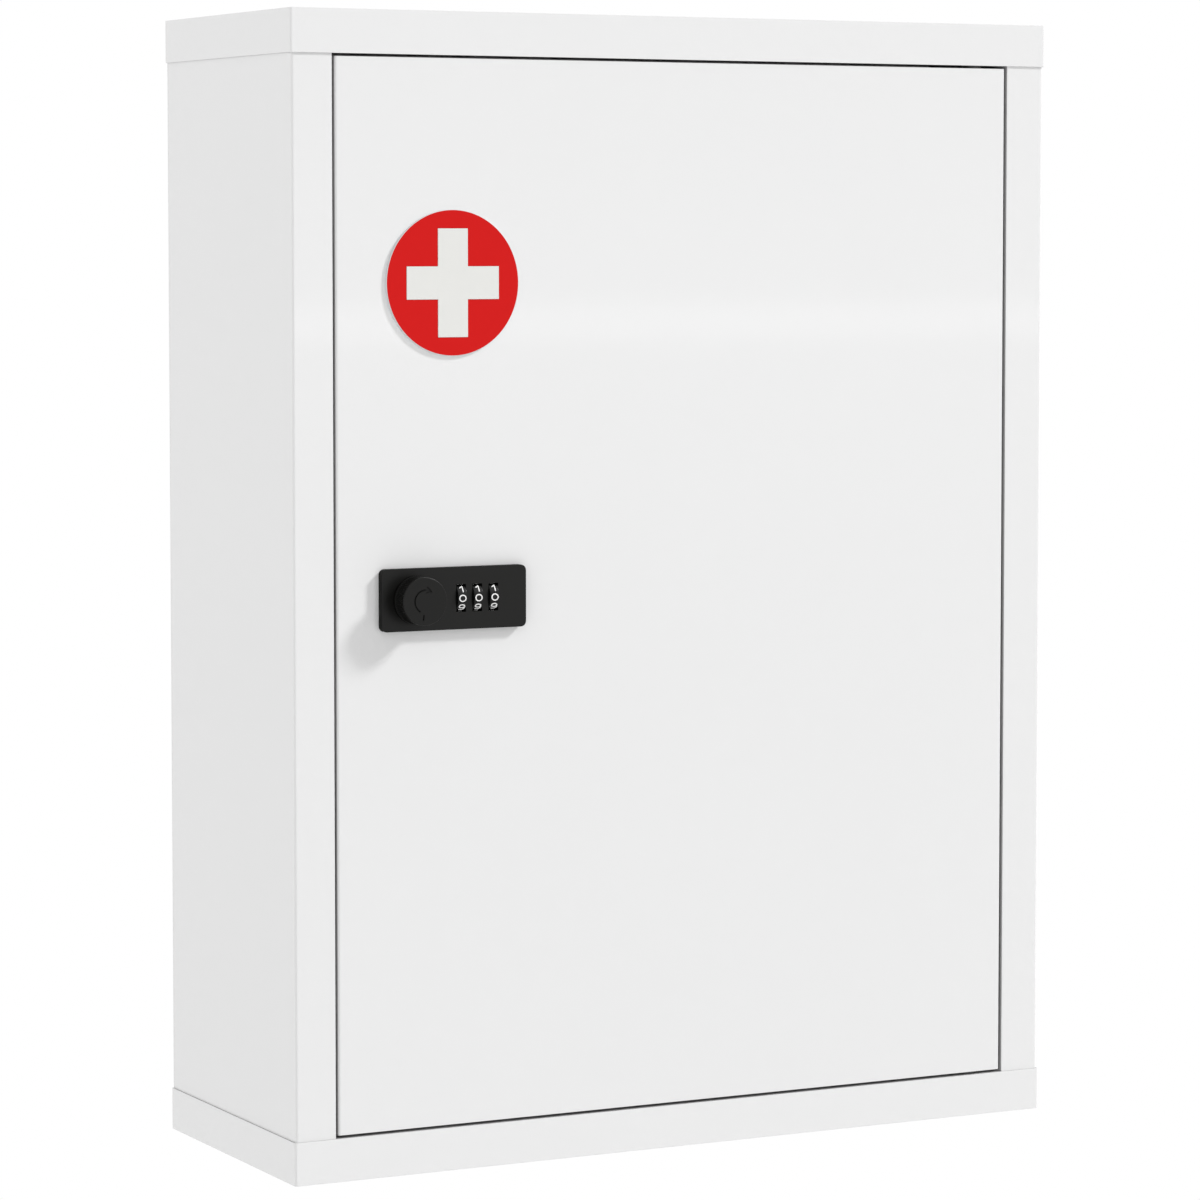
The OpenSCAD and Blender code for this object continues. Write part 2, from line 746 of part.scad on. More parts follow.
top_cap();
bottom_cap();
left_side();
right_side();
back_panel();
upper_shelf();
lower_shelf();
shelf_ledges();
upper_hinge_plate();
lower_hinge_plate();
hinge_rivets();
upper_pivot_pin();
lower_pivot_pin();
door_buffers();
door_pan();
door_stiffener();
upper_pivot_bush();
lower_pivot_bush();
sign_disc();
sign_cross();
lock_housing();
lock_clamp_plate();
lock_clamp_screws();
lock_rear_cover();
rear_cover_screws();
dial_axle();
dial_detent_spring();
locking_bar_spring();
locking_bar();
dial_wheel_left();
dial_wheel_middle();
dial_wheel_right();
lock_knob();
knob_spindle();
lock_tongue();
tongue_washer();
tongue_screw();
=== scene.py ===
"""Dress and studio of a wall-hung steel medicine cabinet with a combination lock.

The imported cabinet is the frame. This script gives its sheets rounded edges and a powder coat, cuts
the knurled knob, prints the dials, turns the screws, rivets and buffers, and lights the whole.
Everything is in metres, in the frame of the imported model: +X to the viewer's right, +Y into the
wall, +Z up, with the origin in the middle of the four wall holes.
"""

from __future__ import annotations

import itertools
import json
import logging
import math
import sys
from contextlib import contextmanager
from dataclasses import dataclass, field
from enum import Enum
from typing import Iterator, Optional, Sequence

import bmesh
import bpy
import numpy as np
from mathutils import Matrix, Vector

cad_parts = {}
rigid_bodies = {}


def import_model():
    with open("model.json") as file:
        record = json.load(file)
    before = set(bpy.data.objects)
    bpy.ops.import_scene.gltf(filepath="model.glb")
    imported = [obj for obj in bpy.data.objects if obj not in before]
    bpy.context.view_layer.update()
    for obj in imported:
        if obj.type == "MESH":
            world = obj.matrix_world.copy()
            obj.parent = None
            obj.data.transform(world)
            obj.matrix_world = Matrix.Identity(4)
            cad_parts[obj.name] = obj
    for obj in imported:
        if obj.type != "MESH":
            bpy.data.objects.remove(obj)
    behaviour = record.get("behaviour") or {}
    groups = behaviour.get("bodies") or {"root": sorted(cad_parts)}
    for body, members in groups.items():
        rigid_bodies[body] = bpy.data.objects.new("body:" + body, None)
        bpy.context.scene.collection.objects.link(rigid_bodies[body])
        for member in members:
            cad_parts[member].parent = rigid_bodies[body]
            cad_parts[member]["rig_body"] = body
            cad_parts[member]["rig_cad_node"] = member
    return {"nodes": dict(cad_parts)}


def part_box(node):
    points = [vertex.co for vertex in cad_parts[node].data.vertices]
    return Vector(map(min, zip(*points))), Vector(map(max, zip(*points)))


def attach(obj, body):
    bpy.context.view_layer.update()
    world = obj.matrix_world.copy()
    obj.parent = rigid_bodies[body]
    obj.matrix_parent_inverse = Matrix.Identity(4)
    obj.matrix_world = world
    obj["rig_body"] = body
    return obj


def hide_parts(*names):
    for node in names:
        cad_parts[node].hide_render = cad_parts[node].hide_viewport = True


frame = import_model()

LOG = logging.getLogger("cabinet")
MM = 0.001
WHITE = (1.0, 1.0, 1.0, 1.0)
Colour = tuple[float, float, float]
Point = tuple[float, float, float]
Flat = tuple[float, float]
Socket = bpy.types.NodeSocket


# ---- Node helpers and the shared effects ----


def settle(thing: object, **settings: object) -> object:
    """Set properties of a new thing by their names, and give it back."""
    for name, value in settings.items():
        setattr(thing, name, value)
    return thing


def opaque(colour: Colour, gain: Colour = (1.0, 1.0, 1.0)) -> tuple[float, ...]:
    """A colour with full opacity, each of its parts times its gain."""
    return (*(part * share for part, share in zip(colour, gain)), 1.0)


class Graph:
    """Adds and joins the nodes of one node tree."""

    def __init__(self, tree: bpy.types.NodeTree) -> None:
        """Keep the tree of a material, a world or a group."""
        self.tree = tree

    def add(self, kind: str, feeds: Optional[dict] = None, **settings: object) -> bpy.types.Node:
        """Add a node.

        Args:
            kind: The node's type name.
            feeds: What goes into its inputs, by name or number: sockets, numbers or tuples.
            settings: Properties of the node, by name.

        Returns:
            The new node.
        """
        node = settle(self.tree.nodes.new(kind), **settings)
        for name, value in (feeds or {}).items():
            self.feed(node.inputs[name], value)
        return node

    def feed(self, socket: Socket, value: object) -> None:
        """Link a socket to an output, or set its constant.

        Args:
            socket: The input to feed.
            value: Another node's output, or a number or a tuple.
        """
        if isinstance(value, bpy.types.NodeSocket):
            self.tree.links.new(value, socket)
        else:
            socket.default_value = value

    def math(self, operation: str, a: object, b: object) -> Socket:
        """Result of a Math node on two values or sockets."""
        return self.add("ShaderNodeMath", {0: a, 1: b}, operation=operation).outputs[0]

    def vector(self, operation: str, a: object, b: object) -> Socket:
        """Result of a Vector Math node: a value for DISTANCE, else a vector."""
        node = self.add("ShaderNodeVectorMath", {0: a, 1: b}, operation=operation)
        return node.outputs["Value" if operation == "DISTANCE" else "Vector"]

    def spread(self, value: object, low: object, high: object, start: float = 0.0,
               end: float = 1.0) -> Socket:
        """Map a value from start..end onto low..high."""
        feeds = {"Value": value, "From Min": start, "From Max": end, "To Min": low, "To Max": high}
        return self.add("ShaderNodeMapRange", feeds).outputs["Result"]

    def blend(self, share: object, a: object, b: object) -> Socket:
        """Colour a, with the given share of colour b mixed in."""
        return self.add("ShaderNodeMix", {0: share, 6: a, 7: b}, data_type="RGBA").outputs[2]

    def noise(self, vector: object, scale: object, octaves: float) -> Socket:
        """Noise of 0 to 1, read at the vector, with its features per metre and its octaves."""
        feeds = {"Vector": vector, "Scale": scale, "Detail": octaves}
        return self.add("ShaderNodeTexNoise", feeds).outputs["Fac"]


class Effect(Enum):
    """The effects that several finishes share, each a shader node group."""

    DRIFT = "shade_drift"
    GRAIN = "surface_grain"
    HANDLING = "handling_marks"
    BRUSHING = "brushed_lines"


@dataclass
class EffectShelf:
    """Builds each shared effect once and places it in a material.

    Attributes:
        built: The groups that are there already.
        fine_share: Share of the fine noise in the grain's height; the broad one has the rest.
        broad_scale: Scale of the grain's broad noise, in parts of the fine one's.
        speck_from: Fine noise at which a speck starts to show.
        speck_to: Fine noise at which it shows fully.
        cloud_from: Noise of the handling marks that gives the low roughness.
        cloud_to: Noise that gives the high roughness.
    """

    built: dict[Effect, bpy.types.NodeTree] = field(default_factory=dict)
    fine_share: float = 0.6
    broad_scale: float = 0.31
    speck_from: float = 0.62
    speck_to: float = 0.74
    cloud_from: float = 0.3
    cloud_to: float = 0.7

    def _tree(self, effect: Effect, inputs: Sequence[str],
              outputs: Sequence[str]) -> tuple[Graph, dict, dict]:
        """Start a group. Its sockets are vectors or colours by their names, and else values.

        Args:
            effect: Which effect it is.
            inputs: Names of its inputs.
            outputs: Names of its outputs.

        Returns:
            The graph, the group's inputs by name, and its result sockets by name.
        """
        tree = bpy.data.node_groups.new(effect.value, "ShaderNodeTree")
        kinds = {"Vector": "NodeSocketVector", "Stretch": "NodeSocketVector",
                 "Colour": "NodeSocketColor"}
        for way, names in (("INPUT", inputs), ("OUTPUT", outputs)):
            for name in names:
                tree.interface.new_socket(name=name, in_out=way,
                                          socket_type=kinds.get(name, "NodeSocketFloat"))
        graph = Graph(tree)
        self.built[effect] = tree
        return graph, graph.add("NodeGroupInput").outputs, graph.add("NodeGroupOutput").inputs

    def _drift(self) -> None:
        """A slow drift of shade: the colour times 1 plus or minus the amount, by a wide noise."""
        graph, given, out = self._tree(Effect.DRIFT, ("Vector", "Colour", "Scale", "Amount"),
                                       ("Colour",))
        centred = graph.math("SUBTRACT", graph.noise(given["Vector"], given["Scale"], 4.0), 0.5)
        swing = graph.math("MULTIPLY", centred, graph.math("MULTIPLY", given["Amount"], 2.0))
        feeds = {0: given["Colour"], "Scale": graph.math("ADD", swing, 1.0)}
        scaled = graph.add("ShaderNodeVectorMath", feeds, operation="SCALE")
        graph.feed(out["Colour"], scaled.outputs["Vector"])

    def _grain(self) -> None:
        """A fine grain: two noises for the height, with sparse specks above a threshold."""
        graph, given, out = self._tree(Effect.GRAIN, ("Vector", "Scale"), ("Height", "Speck"))
        fine = graph.noise(given["Vector"], given["Scale"], 2.0)
        wider = graph.math("MULTIPLY", given["Scale"], self.broad_scale)
        broad = graph.noise(given["Vector"], wider, 1.0)
        graph.feed(out["Height"], graph.math(
            "ADD", graph.math("MULTIPLY", fine, self.fine_share),
            graph.math("MULTIPLY", broad, 1.0 - self.fine_share)))
        graph.feed(out["Speck"], graph.spread(fine, 0.0, 1.0, self.speck_from, self.speck_to))

    def _handling(self) -> None:
        """Marks of handling: the roughness wanders between two values over palm-sized clouds."""
        graph, given, out = self._tree(Effect.HANDLING, ("Vector", "Scale", "Low", "High"),
                                       ("Roughness",))
        cloud = graph.noise(given["Vector"], given["Scale"], 5.0)
        mask = graph.spread(cloud, 0.0, 1.0, self.cloud_from, self.cloud_to)
        graph.feed(out["Roughness"], graph.spread(mask, given["Low"], given["High"]))

    def _brushing(self) -> None:
        """Brushed lines: a noise read on coordinates that are squeezed along one axis."""
        graph, given, out = self._tree(Effect.BRUSHING, ("Vector", "Stretch", "Scale"),
                                       ("Height",))
        place = graph.vector("MULTIPLY", given["Vector"], given["Stretch"])
        graph.feed(out["Height"], graph.noise(place, given["Scale"], 3.0))

    def place(self, graph: Graph, effect: Effect, **values: object) -> dict:
        """Put an effect into a material.

        Args:
            graph: The material's graph.
            effect: Which effect.
            values: Sockets or constants for the group's inputs, by name.

        Returns:
            The group's outputs, by name.
        """
        if effect not in self.built:
            {Effect.DRIFT: self._drift, Effect.GRAIN: self._grain,
             Effect.HANDLING: self._handling, Effect.BRUSHING: self._brushing}[effect]()
        return graph.add("ShaderNodeGroup", values, node_tree=self.built[effect]).outputs


EFFECTS = EffectShelf()


# ---- Finishes ----


@dataclass(frozen=True)
class Finish:
    """A finish of this cabinet. Lengths are in metres and scales are features per metre.

    Attributes:
        name: The material's name.
        colour: Its linear colour.
        low_roughness: Roughness where it is smoothest.
        high_roughness: Roughness where it is dullest.
        drift: How far its shade wanders.
        drift_scale: Size of that wandering.
        cloud_scale: Size of the clouds that its roughness follows.
        grain_scale: Size of its grain.
        grain_depth: Height of its grain.
        specular: The shader's specular level.
        metallic: 1 on bare metal.
        coat: Weight of its clear skin.
        coat_roughness: Roughness of that skin.
    """

    name: str
    colour: Colour
    low_roughness: float
    high_roughness: float
    drift: float = 0.01
    drift_scale: float = 14.0
    cloud_scale: float = 25.0
    grain_scale: float = 4200.0
    grain_depth: float = 0.004 * MM
    specular: float = 0.5
    metallic: float = 0.0
    coat: float = 0.0
    coat_roughness: float = 0.1

    def drifting(self, graph: Graph, place: Socket, colour: object) -> Socket:
        """A colour whose shade wanders slowly."""
        return EFFECTS.place(graph, Effect.DRIFT, Vector=place, Colour=colour,
                             Scale=self.drift_scale, Amount=self.drift)["Colour"]

    def colouring(self, graph: Graph, place: Socket) -> Socket:
        """Colour of the surface: its shade with a slow drift."""
        return self.drifting(graph, place, opaque(self.colour))

    def relief(self, graph: Graph, place: Socket) -> Socket:
        """Height of the surface: its grain."""
        return EFFECTS.place(graph, Effect.GRAIN, Vector=place, Scale=self.grain_scale)["Height"]

    def build(self) -> bpy.types.Material:
        """Make the material.

        Returns:
            The material, with its Principled shader fed by the shared effects.
        """
        material = bpy.data.materials.new(self.name)
        material.use_nodes = True
        material.node_tree.nodes.clear()
        graph = Graph(material.node_tree)
        place = graph.add("ShaderNodeTexCoord").outputs["Object"]
        marks = EFFECTS.place(graph, Effect.HANDLING, Vector=place, Scale=self.cloud_scale,
                              Low=self.low_roughness, High=self.high_roughness)
        bump = graph.add("ShaderNodeBump", {
            "Strength": 1.0, "Distance": self.grain_depth, "Height": self.relief(graph, place)})
        shader = graph.add("ShaderNodeBsdfPrincipled", {
            "Base Color": self.colouring(graph, place), "Roughness": marks["Roughness"],
            "Normal": bump.outputs["Normal"], "Metallic": self.metallic,
            "Specular IOR Level": self.specular, "Coat Weight": self.coat,
            "Coat Roughness": self.coat_roughness})
        graph.add("ShaderNodeOutputMaterial", {"Surface": shader.outputs[0]})
        material.diffuse_color = opaque(self.colour)
        return material


@dataclass(frozen=True)
class ZincPlate(Finish):
    """Bright zinc on steel: brushed lines under a faint spangle.

    Attributes:
        drift_scale: Size of the shade's wandering.
        stretch: How the coordinates are squeezed; the lines run along the smallest one.
        crystal_scale: Size of the crystals.
        crystal_share: How far the darkest crystal goes towards the cool shade.
        cool: The cool shade, in shares of the colour.
    """

    drift_scale: float = 60.0
    stretch: Point = (0.04, 1.0, 1.0)
    crystal_scale: float = 420.0
    crystal_share: float = 0.3
    cool: Colour = (0.82, 0.86, 0.92)

    def colouring(self, graph: Graph, place: Socket) -> Socket:
        """Zinc's shade, a little darker or bluer from one crystal to the next.

        Args:
            graph: The material's graph.
            place: Where the surface is.

        Returns:
            The colour's socket.
        """
        cells = graph.add("ShaderNodeTexVoronoi", {"Vector": place, "Scale": self.crystal_scale})
        tint = graph.spread(cells.outputs["Color"], 0.0, self.crystal_share)
        cool = opaque(self.colour, self.cool)
        return self.drifting(graph, place, graph.blend(tint, opaque(self.colour), cool))

    def relief(self, graph: Graph, place: Socket) -> Socket:
        """Height of the brushed lines."""
        return EFFECTS.place(graph, Effect.BRUSHING, Vector=place, Stretch=self.stretch,
                             Scale=self.grain_scale)["Height"]


@dataclass(frozen=True)
class SpeckledRubber(Finish):
    """Dull rubber with pale specks of chalk.

    Attributes:
        speck_gain: How much paler a speck is, in each part of the colour.
    """

    speck_gain: Colour = (2.2, 2.2, 2.2)

    def colouring(self, graph: Graph, place: Socket) -> Socket:
        """Rubber's shade, paler at its specks."""
        grain = EFFECTS.place(graph, Effect.GRAIN, Vector=place, Scale=self.grain_scale)
        pale = opaque(self.colour, self.speck_gain)
        return graph.blend(grain["Speck"], opaque(self.colour), pale)


@dataclass(frozen=True)
class PrintedDisc(Finish):
    """A red print on a pale plate, whose cut edge stays pale.

    Attributes:
        centre: The disc's centre.
        print_radius: Radius that the print reaches.
        soft: Width over which the print ends.
        edge: Linear colour of the bare edge.
    """

    centre: Point = (0.0, 0.0, 0.0)
    print_radius: float = 24.8 * MM
    soft: float = 0.08 * MM
    edge: Colour = (0.72, 0.74, 0.75)

    def colouring(self, graph: Graph, place: Socket) -> Socket:
        """Red inside the print's radius about the disc's axis, pale outside it.

        Args:
            graph: The material's graph.
            place: Where the surface is.

        Returns:
            The colour's socket.
        """
        red = Finish.colouring(self, graph, place)
        flat = graph.vector("MULTIPLY", place, (1.0, 0.0, 1.0))
        away = graph.vector("DISTANCE", flat, (self.centre[0], 0.0, self.centre[2]))
        bare = graph.spread(away, 0.0, 1.0, self.print_radius, self.print_radius + self.soft)
        return graph.blend(bare, red, opaque(self.edge))


@dataclass(frozen=True)
class FadingFloor(Finish):
    """A floor that the camera sees fade into the white background towards its rim.

    Attributes:
        middle: Centre of the floor.
        fade_from: Radius at which the fade starts.
        fade_to: Radius at which the floor is plain white.
    """

    middle: Point = (0.0, 0.0, 0.0)
    fade_from: float = 0.95
    fade_to: float = 1.55

    def build(self) -> bpy.types.Material:
        """Make the material, and mix white light into its rim for rays from the camera.

        Returns:
            The material.
        """
        material = Finish.build(self)
        graph = Graph(material.node_tree)
        place = graph.add("ShaderNodeTexCoord").outputs["Object"]
        away = graph.vector("DISTANCE", place, self.middle)
        rim = graph.spread(away, 0.0, 1.0, self.fade_from, self.fade_to)
        seen = graph.add("ShaderNodeLightPath").outputs["Is Camera Ray"]
        leave = next(node for node in graph.tree.nodes if node.type == "OUTPUT_MATERIAL")
        surface = leave.inputs["Surface"]
        mix = graph.add("ShaderNodeMixShader", {
            0: graph.math("MULTIPLY", rim, seen), 1: surface.links[0].from_socket,
            2: graph.add("ShaderNodeEmission").outputs[0]})
        graph.feed(surface, mix.outputs[0])
        return material


class Slot(Enum):
    """Material slots of the record."""

    WHITE_STEEL = "white_steel"
    PLATED_STEEL = "plated_steel"
    RUBBER = "buffer_rubber"
    BUSH = "bush_plastic"
    SIGN_RED = "sign_red"
    SIGN_WHITE = "sign_white"
    LOCK_BLACK = "lock_black"
    DIAL_BLACK = "dial_black"


class Detail(Enum):
    """Finishes of a part of a piece, or of a piece that differs from the rest of its slot."""

    DIGIT_PAINT = "digit_paint"
    KNOB_BLACK = "knob_black"
    # Painted shade: a grey copy of the white powder coat, put on the walls of the door's gap to
    # darken it
    GAP_SHADE = "painted_gap_shade"
    DULL_BLACK = "dull_black"


@dataclass
class FinishRack:
    """The cabinet's materials.

    Attributes:
        materials: One for each slot and each detail.
        bare_rim: How far the sign's print stays from the disc's edge.
    """

    materials: dict[Enum, bpy.types.Material] = field(default_factory=dict)
    bare_rim: float = 0.16 * MM

    def stock(self) -> None:
        """Build every material."""
        low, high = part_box("sign_disc")
        finishes = {
            Slot.WHITE_STEEL: Finish(
                "white_powder_coat", (0.835, 0.835, 0.835), 0.2, 0.25, drift=0.006,
                grain_scale=620.0, grain_depth=0.012 * MM, coat=0.2, coat_roughness=0.045),
            Slot.PLATED_STEEL: ZincPlate(
                "bright_zinc", (0.5, 0.51, 0.525), 0.26, 0.4, drift=0.07,
                grain_scale=5200.0, metallic=1.0),
            Slot.RUBBER: SpeckledRubber(
                "buffer_rubber", (0.03, 0.03, 0.03), 0.7, 0.85, grain_scale=3000.0,
                grain_depth=0.02 * MM, specular=0.3),
            Slot.BUSH: Finish(
                "black_acetal", (0.03, 0.03, 0.03), 0.38, 0.5, drift=0.05,
                grain_scale=2400.0, grain_depth=0.008 * MM),
            Slot.SIGN_RED: PrintedDisc(
                "red_print", (0.655, 0.0125, 0.012), 0.36, 0.44, drift=0.015,
                grain_scale=1500.0, specular=0.06,
                centre=tuple((low + high) / 2),
                print_radius=(high.x - low.x) / 2 - self.bare_rim),
            Slot.SIGN_WHITE: Finish(
                "sign_white", (0.8, 0.8, 0.775), 0.36, 0.44, grain_scale=1500.0,
                specular=0.12),
            Slot.LOCK_BLACK: Finish(
                "satin_black", (0.0038, 0.0038, 0.0032), 0.3, 0.36, drift=0.08,
                grain_depth=0.01 * MM, specular=0.245),
            Slot.DIAL_BLACK: Finish(
                "dial_black", (0.004, 0.004, 0.004), 0.2, 0.3, drift=0.05,
                grain_scale=2600.0, specular=0.25),
            Detail.DIGIT_PAINT: Finish(
                "digit_paint", (0.94, 0.94, 0.93), 0.4, 0.5, drift=0.02,
                grain_scale=6000.0, specular=0.3),
            Detail.KNOB_BLACK: Finish(
                "knob_black", (0.005, 0.005, 0.0044), 0.36, 0.42, drift=0.08,
                grain_depth=0.008 * MM, specular=0.215),
            # Painted shade: a grey copy of the white powder coat that darkens the walls of the
            # door's gap
            Detail.GAP_SHADE: Finish(
                "painted_gap_shade", (0.5, 0.5, 0.5), 0.4, 0.5, drift=0.02,
                grain_scale=620.0, grain_depth=0.012 * MM, specular=0.3),
            Detail.DULL_BLACK: Finish(
                "dull_black", (0.0035, 0.0035, 0.0032), 0.6, 0.7, drift=0.08,
                grain_scale=2400.0, grain_depth=0.02 * MM, specular=0.14),
        }
        self.materials = {key: finish.build() for key, finish in finishes.items()}

    def dress(self, piece: bpy.types.Object, slot: Slot, detail: Optional[Detail] = None) -> None:
        """Give a piece the finish of its slot.

        Args:
            piece: A CAD node or a new piece.
            slot: The record's slot.
            detail: Another finish for the same slot.
        """
        piece.data.materials.clear()
        piece.data.materials.append(self.materials[detail or slot])
        LOG.info("%s: dressed in %s", piece.name, piece.data.materials[0].name)


RACK = FinishRack()


# ---- Mesh makers ----

MERGE = 0.0001 * MM
SAME_CORNER = 0.002 * MM
SLIVER = 0.00001 * MM
CREASE = math.radians(38)
SAME_FACE = math.radians(0.6)
SHARP = math.radians(32)


@contextmanager
def editing(mesh: bpy.types.Mesh) -> Iterator[bmesh.types.BMesh]:
    """Open a mesh for editing, and write it back at the end.

    Args:
        mesh: The mesh.

    Yields:
        Its editable shape.
    """
    shape = bmesh.new()
    shape.from_mesh(mesh)
    yield shape
    shape.to_mesh(mesh)
    shape.free()


def put_up(name: str, data: bpy.types.ID) -> bpy.types.Object:
    """Put a new object with the given data into the scene.

    Args:
        name: The object's name.
        data: Its mesh, lamp or camera.

    Returns:
        The object.
    """
    thing = bpy.data.objects.new(name, data)
    bpy.context.scene.collection.objects.link(thing)
    return thing


def riding(name: str, mesh: bpy.types.Mesh, node: str) -> bpy.types.Object:
    """Make an object of a mesh that is already in place, and let it move with a node's body.

    Args:
        name: The piece's name.
        mesh: Its mesh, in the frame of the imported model.
        node: The CAD node whose body it rides on.

    Returns:
        The new object.
    """
    piece = put_up(name, mesh)
    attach(piece, frame["nodes"][node]["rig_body"])
    return piece


def sheet_mesh(name: str, patches: Sequence[np.ndarray]) -> bpy.types.Mesh:
    """Join grids of points, each round in its second direction, into one closed mesh.

    Every patch is an array (rows, columns, 3). A face joins the points (i, j), (i, j + 1),
    (i + 1, j + 1) and (i + 1, j), with the columns taken round. Rows that shrink to one point are
    merged, which closes the poles, and the normals are then turned outwards.

    Args:
        name: The mesh's name.
        patches: One grid for each separate shell.

    Returns:
        The mesh.
    """
    points, faces, start = [], [], 0
    for patch in patches:
        rows, columns = patch.shape[:2]
        i, j = np.meshgrid(np.arange(rows - 1), np.arange(columns), indexing="ij")
        after = (j + 1) % columns
        corners = (i * columns + j, i * columns + after, (i + 1) * columns + after,
                   (i + 1) * columns + j)
        faces.append(np.stack(corners, -1).reshape(-1, 4) + start)
        points.append(patch.reshape(-1, 3))
        start += rows * columns
    mesh = bpy.data.meshes.new(name)
    mesh.from_pydata(np.concatenate(points).tolist(), [], np.concatenate(faces).tolist())
    with editing(mesh) as shape:
        bmesh.ops.remove_doubles(shape, verts=shape.verts, dist=MERGE)
        bmesh.ops.dissolve_degenerate(shape, dist=SLIVER, edges=shape.edges)
        bmesh.ops.recalc_face_normals(shape, faces=shape.faces)
    mesh.polygons.foreach_set("use_smooth", np.ones(len(mesh.polygons), bool))
    mesh.set_sharp_from_angle(angle=CREASE)
    return mesh


def stand_for(node: str, ending: str, shells: Sequence[np.ndarray], slot: Slot,
              detail: Optional[Detail] = None) -> bpy.types.Object:
    """Make a piece of closed shells in the place of a CAD node.

    Args:
        node: The node that it stands for.
        ending: What its name adds to the node's.
        shells: One grid of points for each shell.
        slot: The slot whose finish it takes.
        detail: Another finish for the same slot.

    Returns:
        The piece.
    """
    piece = riding(node + ending, sheet_mesh(node + ending, shells), node)
    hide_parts(node)
    RACK.dress(piece, slot, detail)
    LOG.info("%s: %d shells", piece.name, len(shells))
    return piece


def round_corners(profile: Sequence[Point], steps: int = 5) -> np.ndarray:
    """Round the corners of a profile.

    A corner of radius c is replaced by a quadratic curve from the point c before it to the point c
    after it: (1 - t)^2 a + 2 t (1 - t) corner + t^2 b.

    Args:
        profile: Radius, height and corner radius of each point.
        steps: Points on each rounded corner.

    Returns:
        The points as an array (n, 2).
    """
    given = np.array(profile, float)
    pieces = []
    for index, (r, h, c) in enumerate(given):
        corner = np.array([r, h])
        if c <= 0 or index in (0, len(given) - 1):
            pieces.append(corner[None])
            continue
        before, after = given[index - 1, :2] - corner, given[index + 1, :2] - corner
        a = corner + before / np.linalg.norm(before) * c
        b = corner + after / np.linalg.norm(after) * c
        t = np.linspace(0, 1, steps)[:, None]
        pieces.append((1 - t) ** 2 * a + 2 * t * (1 - t) * corner + t ** 2 * b)
    return np.concatenate(pieces)


class Axis(Enum):
    """The way that a turned piece points from its foot to its head."""

    TO_FRONT = (0.0, -1.0, 0.0)
    TO_WALL = (0.0, 1.0, 0.0)
    UP = (0.0, 0.0, 1.0)
    DOWN = (0.0, 0.0, -1.0)

    def stand(self, foot: Point, side: np.ndarray, other: np.ndarray,
              height: np.ndarray) -> np.ndarray:
        """Place coordinates that are local to a turned piece.

        Args:
            foot: Where its axis starts.
            side: Distance along the first direction across the axis.
            other: Distance along the second direction across the axis.
            height: Distance along the axis.

        Returns:
            The points in the frame, as an array with a last dimension of 3.
        """
        along = np.array(self.value)
        first = np.array([1.0, 0.0, 0.0])
        second = np.cross(along, first)
        return (np.array(foot) + side[..., None] * first + other[..., None] * second
                + height[..., None] * along)

    def turned(self, foot: Point, profile: np.ndarray, columns: int = 48) -> np.ndarray:
        """Turn a profile about the axis: each point goes round at its own radius and height.

        Args:
            foot: Where the axis starts.
            profile: Radius and height of the points, as an array (n, 2).
            columns: Points round the axis.

        Returns:
            The grid of points (n, columns, 3).
        """
        angle = round_angles(columns)
        radius, height = profile[:, :1], profile[:, 1:]
        return self.stand(foot, radius * np.cos(angle), radius * np.sin(angle),
                          height + 0 * angle)


def round_angles(count: int) -> np.ndarray:
    """Evenly spaced angles of one turn."""
    return np.linspace(0, 2 * math.pi, count, endpoint=False)


@dataclass
class RoundedCopy:
    """A copy of a CAD node whose sharp edges are rounded, as a coat of paint leaves them.

    Attributes:
        node: The node's name.
        width: Width of the rounding.
        slot: The slot whose finish it takes.
        steps: Segments of the rounding.
    """

    node: str
    width: float
    slot: Slot
    steps: int = 2

    def build(self) -> bpy.types.Object:
        """Merge the node's loose triangles, join its flat faces and round its edges.

        Returns:
            The piece, which stands for the node.
        """
        mesh = frame["nodes"][self.node].data.copy()
        mesh.name = self.node + "_rounded"
        with editing(mesh) as shape:
            bmesh.ops.remove_doubles(shape, verts=shape.verts, dist=SAME_CORNER)
            bmesh.ops.dissolve_limit(shape, angle_limit=SAME_FACE, verts=shape.verts,
                                     edges=shape.edges)
        mesh.polygons.foreach_set("use_smooth", np.ones(len(mesh.polygons), bool))
        piece = riding(self.node + "_dressed", mesh, self.node)
        settle(piece.modifiers.new("rounding", "BEVEL"), width=self.width,
               segments=self.steps, limit_method="ANGLE", angle_limit=SHARP)
        settle(piece.modifiers.new("even_light", "WEIGHTED_NORMAL"), mode="FACE_AREA",
               weight=100, keep_sharp=False)
        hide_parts(self.node)
        RACK.dress(piece, self.slot)
        LOG.info("%s: rounded by %.2f mm", piece.name, self.width / MM)
        return piece


def vectors(parts: bpy.types.bpy_prop_collection, what: str) -> np.ndarray:
    """Read one vector of each vertex or face of a mesh.

    Args:
        parts: The mesh's vertices or its polygons.
        what: "co" of vertices, and the outward "normal" or the "center" of polygons.

    Returns:
        The vectors, as an array (parts, 3).
    """
    values = np.zeros(len(parts) * 3, np.float32)
    parts.foreach_get(what, values)
    return values.reshape(-1, 3)


def repaint(piece: bpy.types.Object, chosen: np.ndarray, detail: Detail) -> None:
    """Give some faces of a dressed piece another finish.

    Args:
        piece: The piece.
        chosen: True for each face that changes.
        detail: The faces' new finish.
    """
    piece.data.materials.append(RACK.materials[detail])
    piece.data.polygons.foreach_set("material_index", chosen.astype(np.int32))
    LOG.info("%s: %d faces in %s", piece.name, int(chosen.sum()), detail.value)


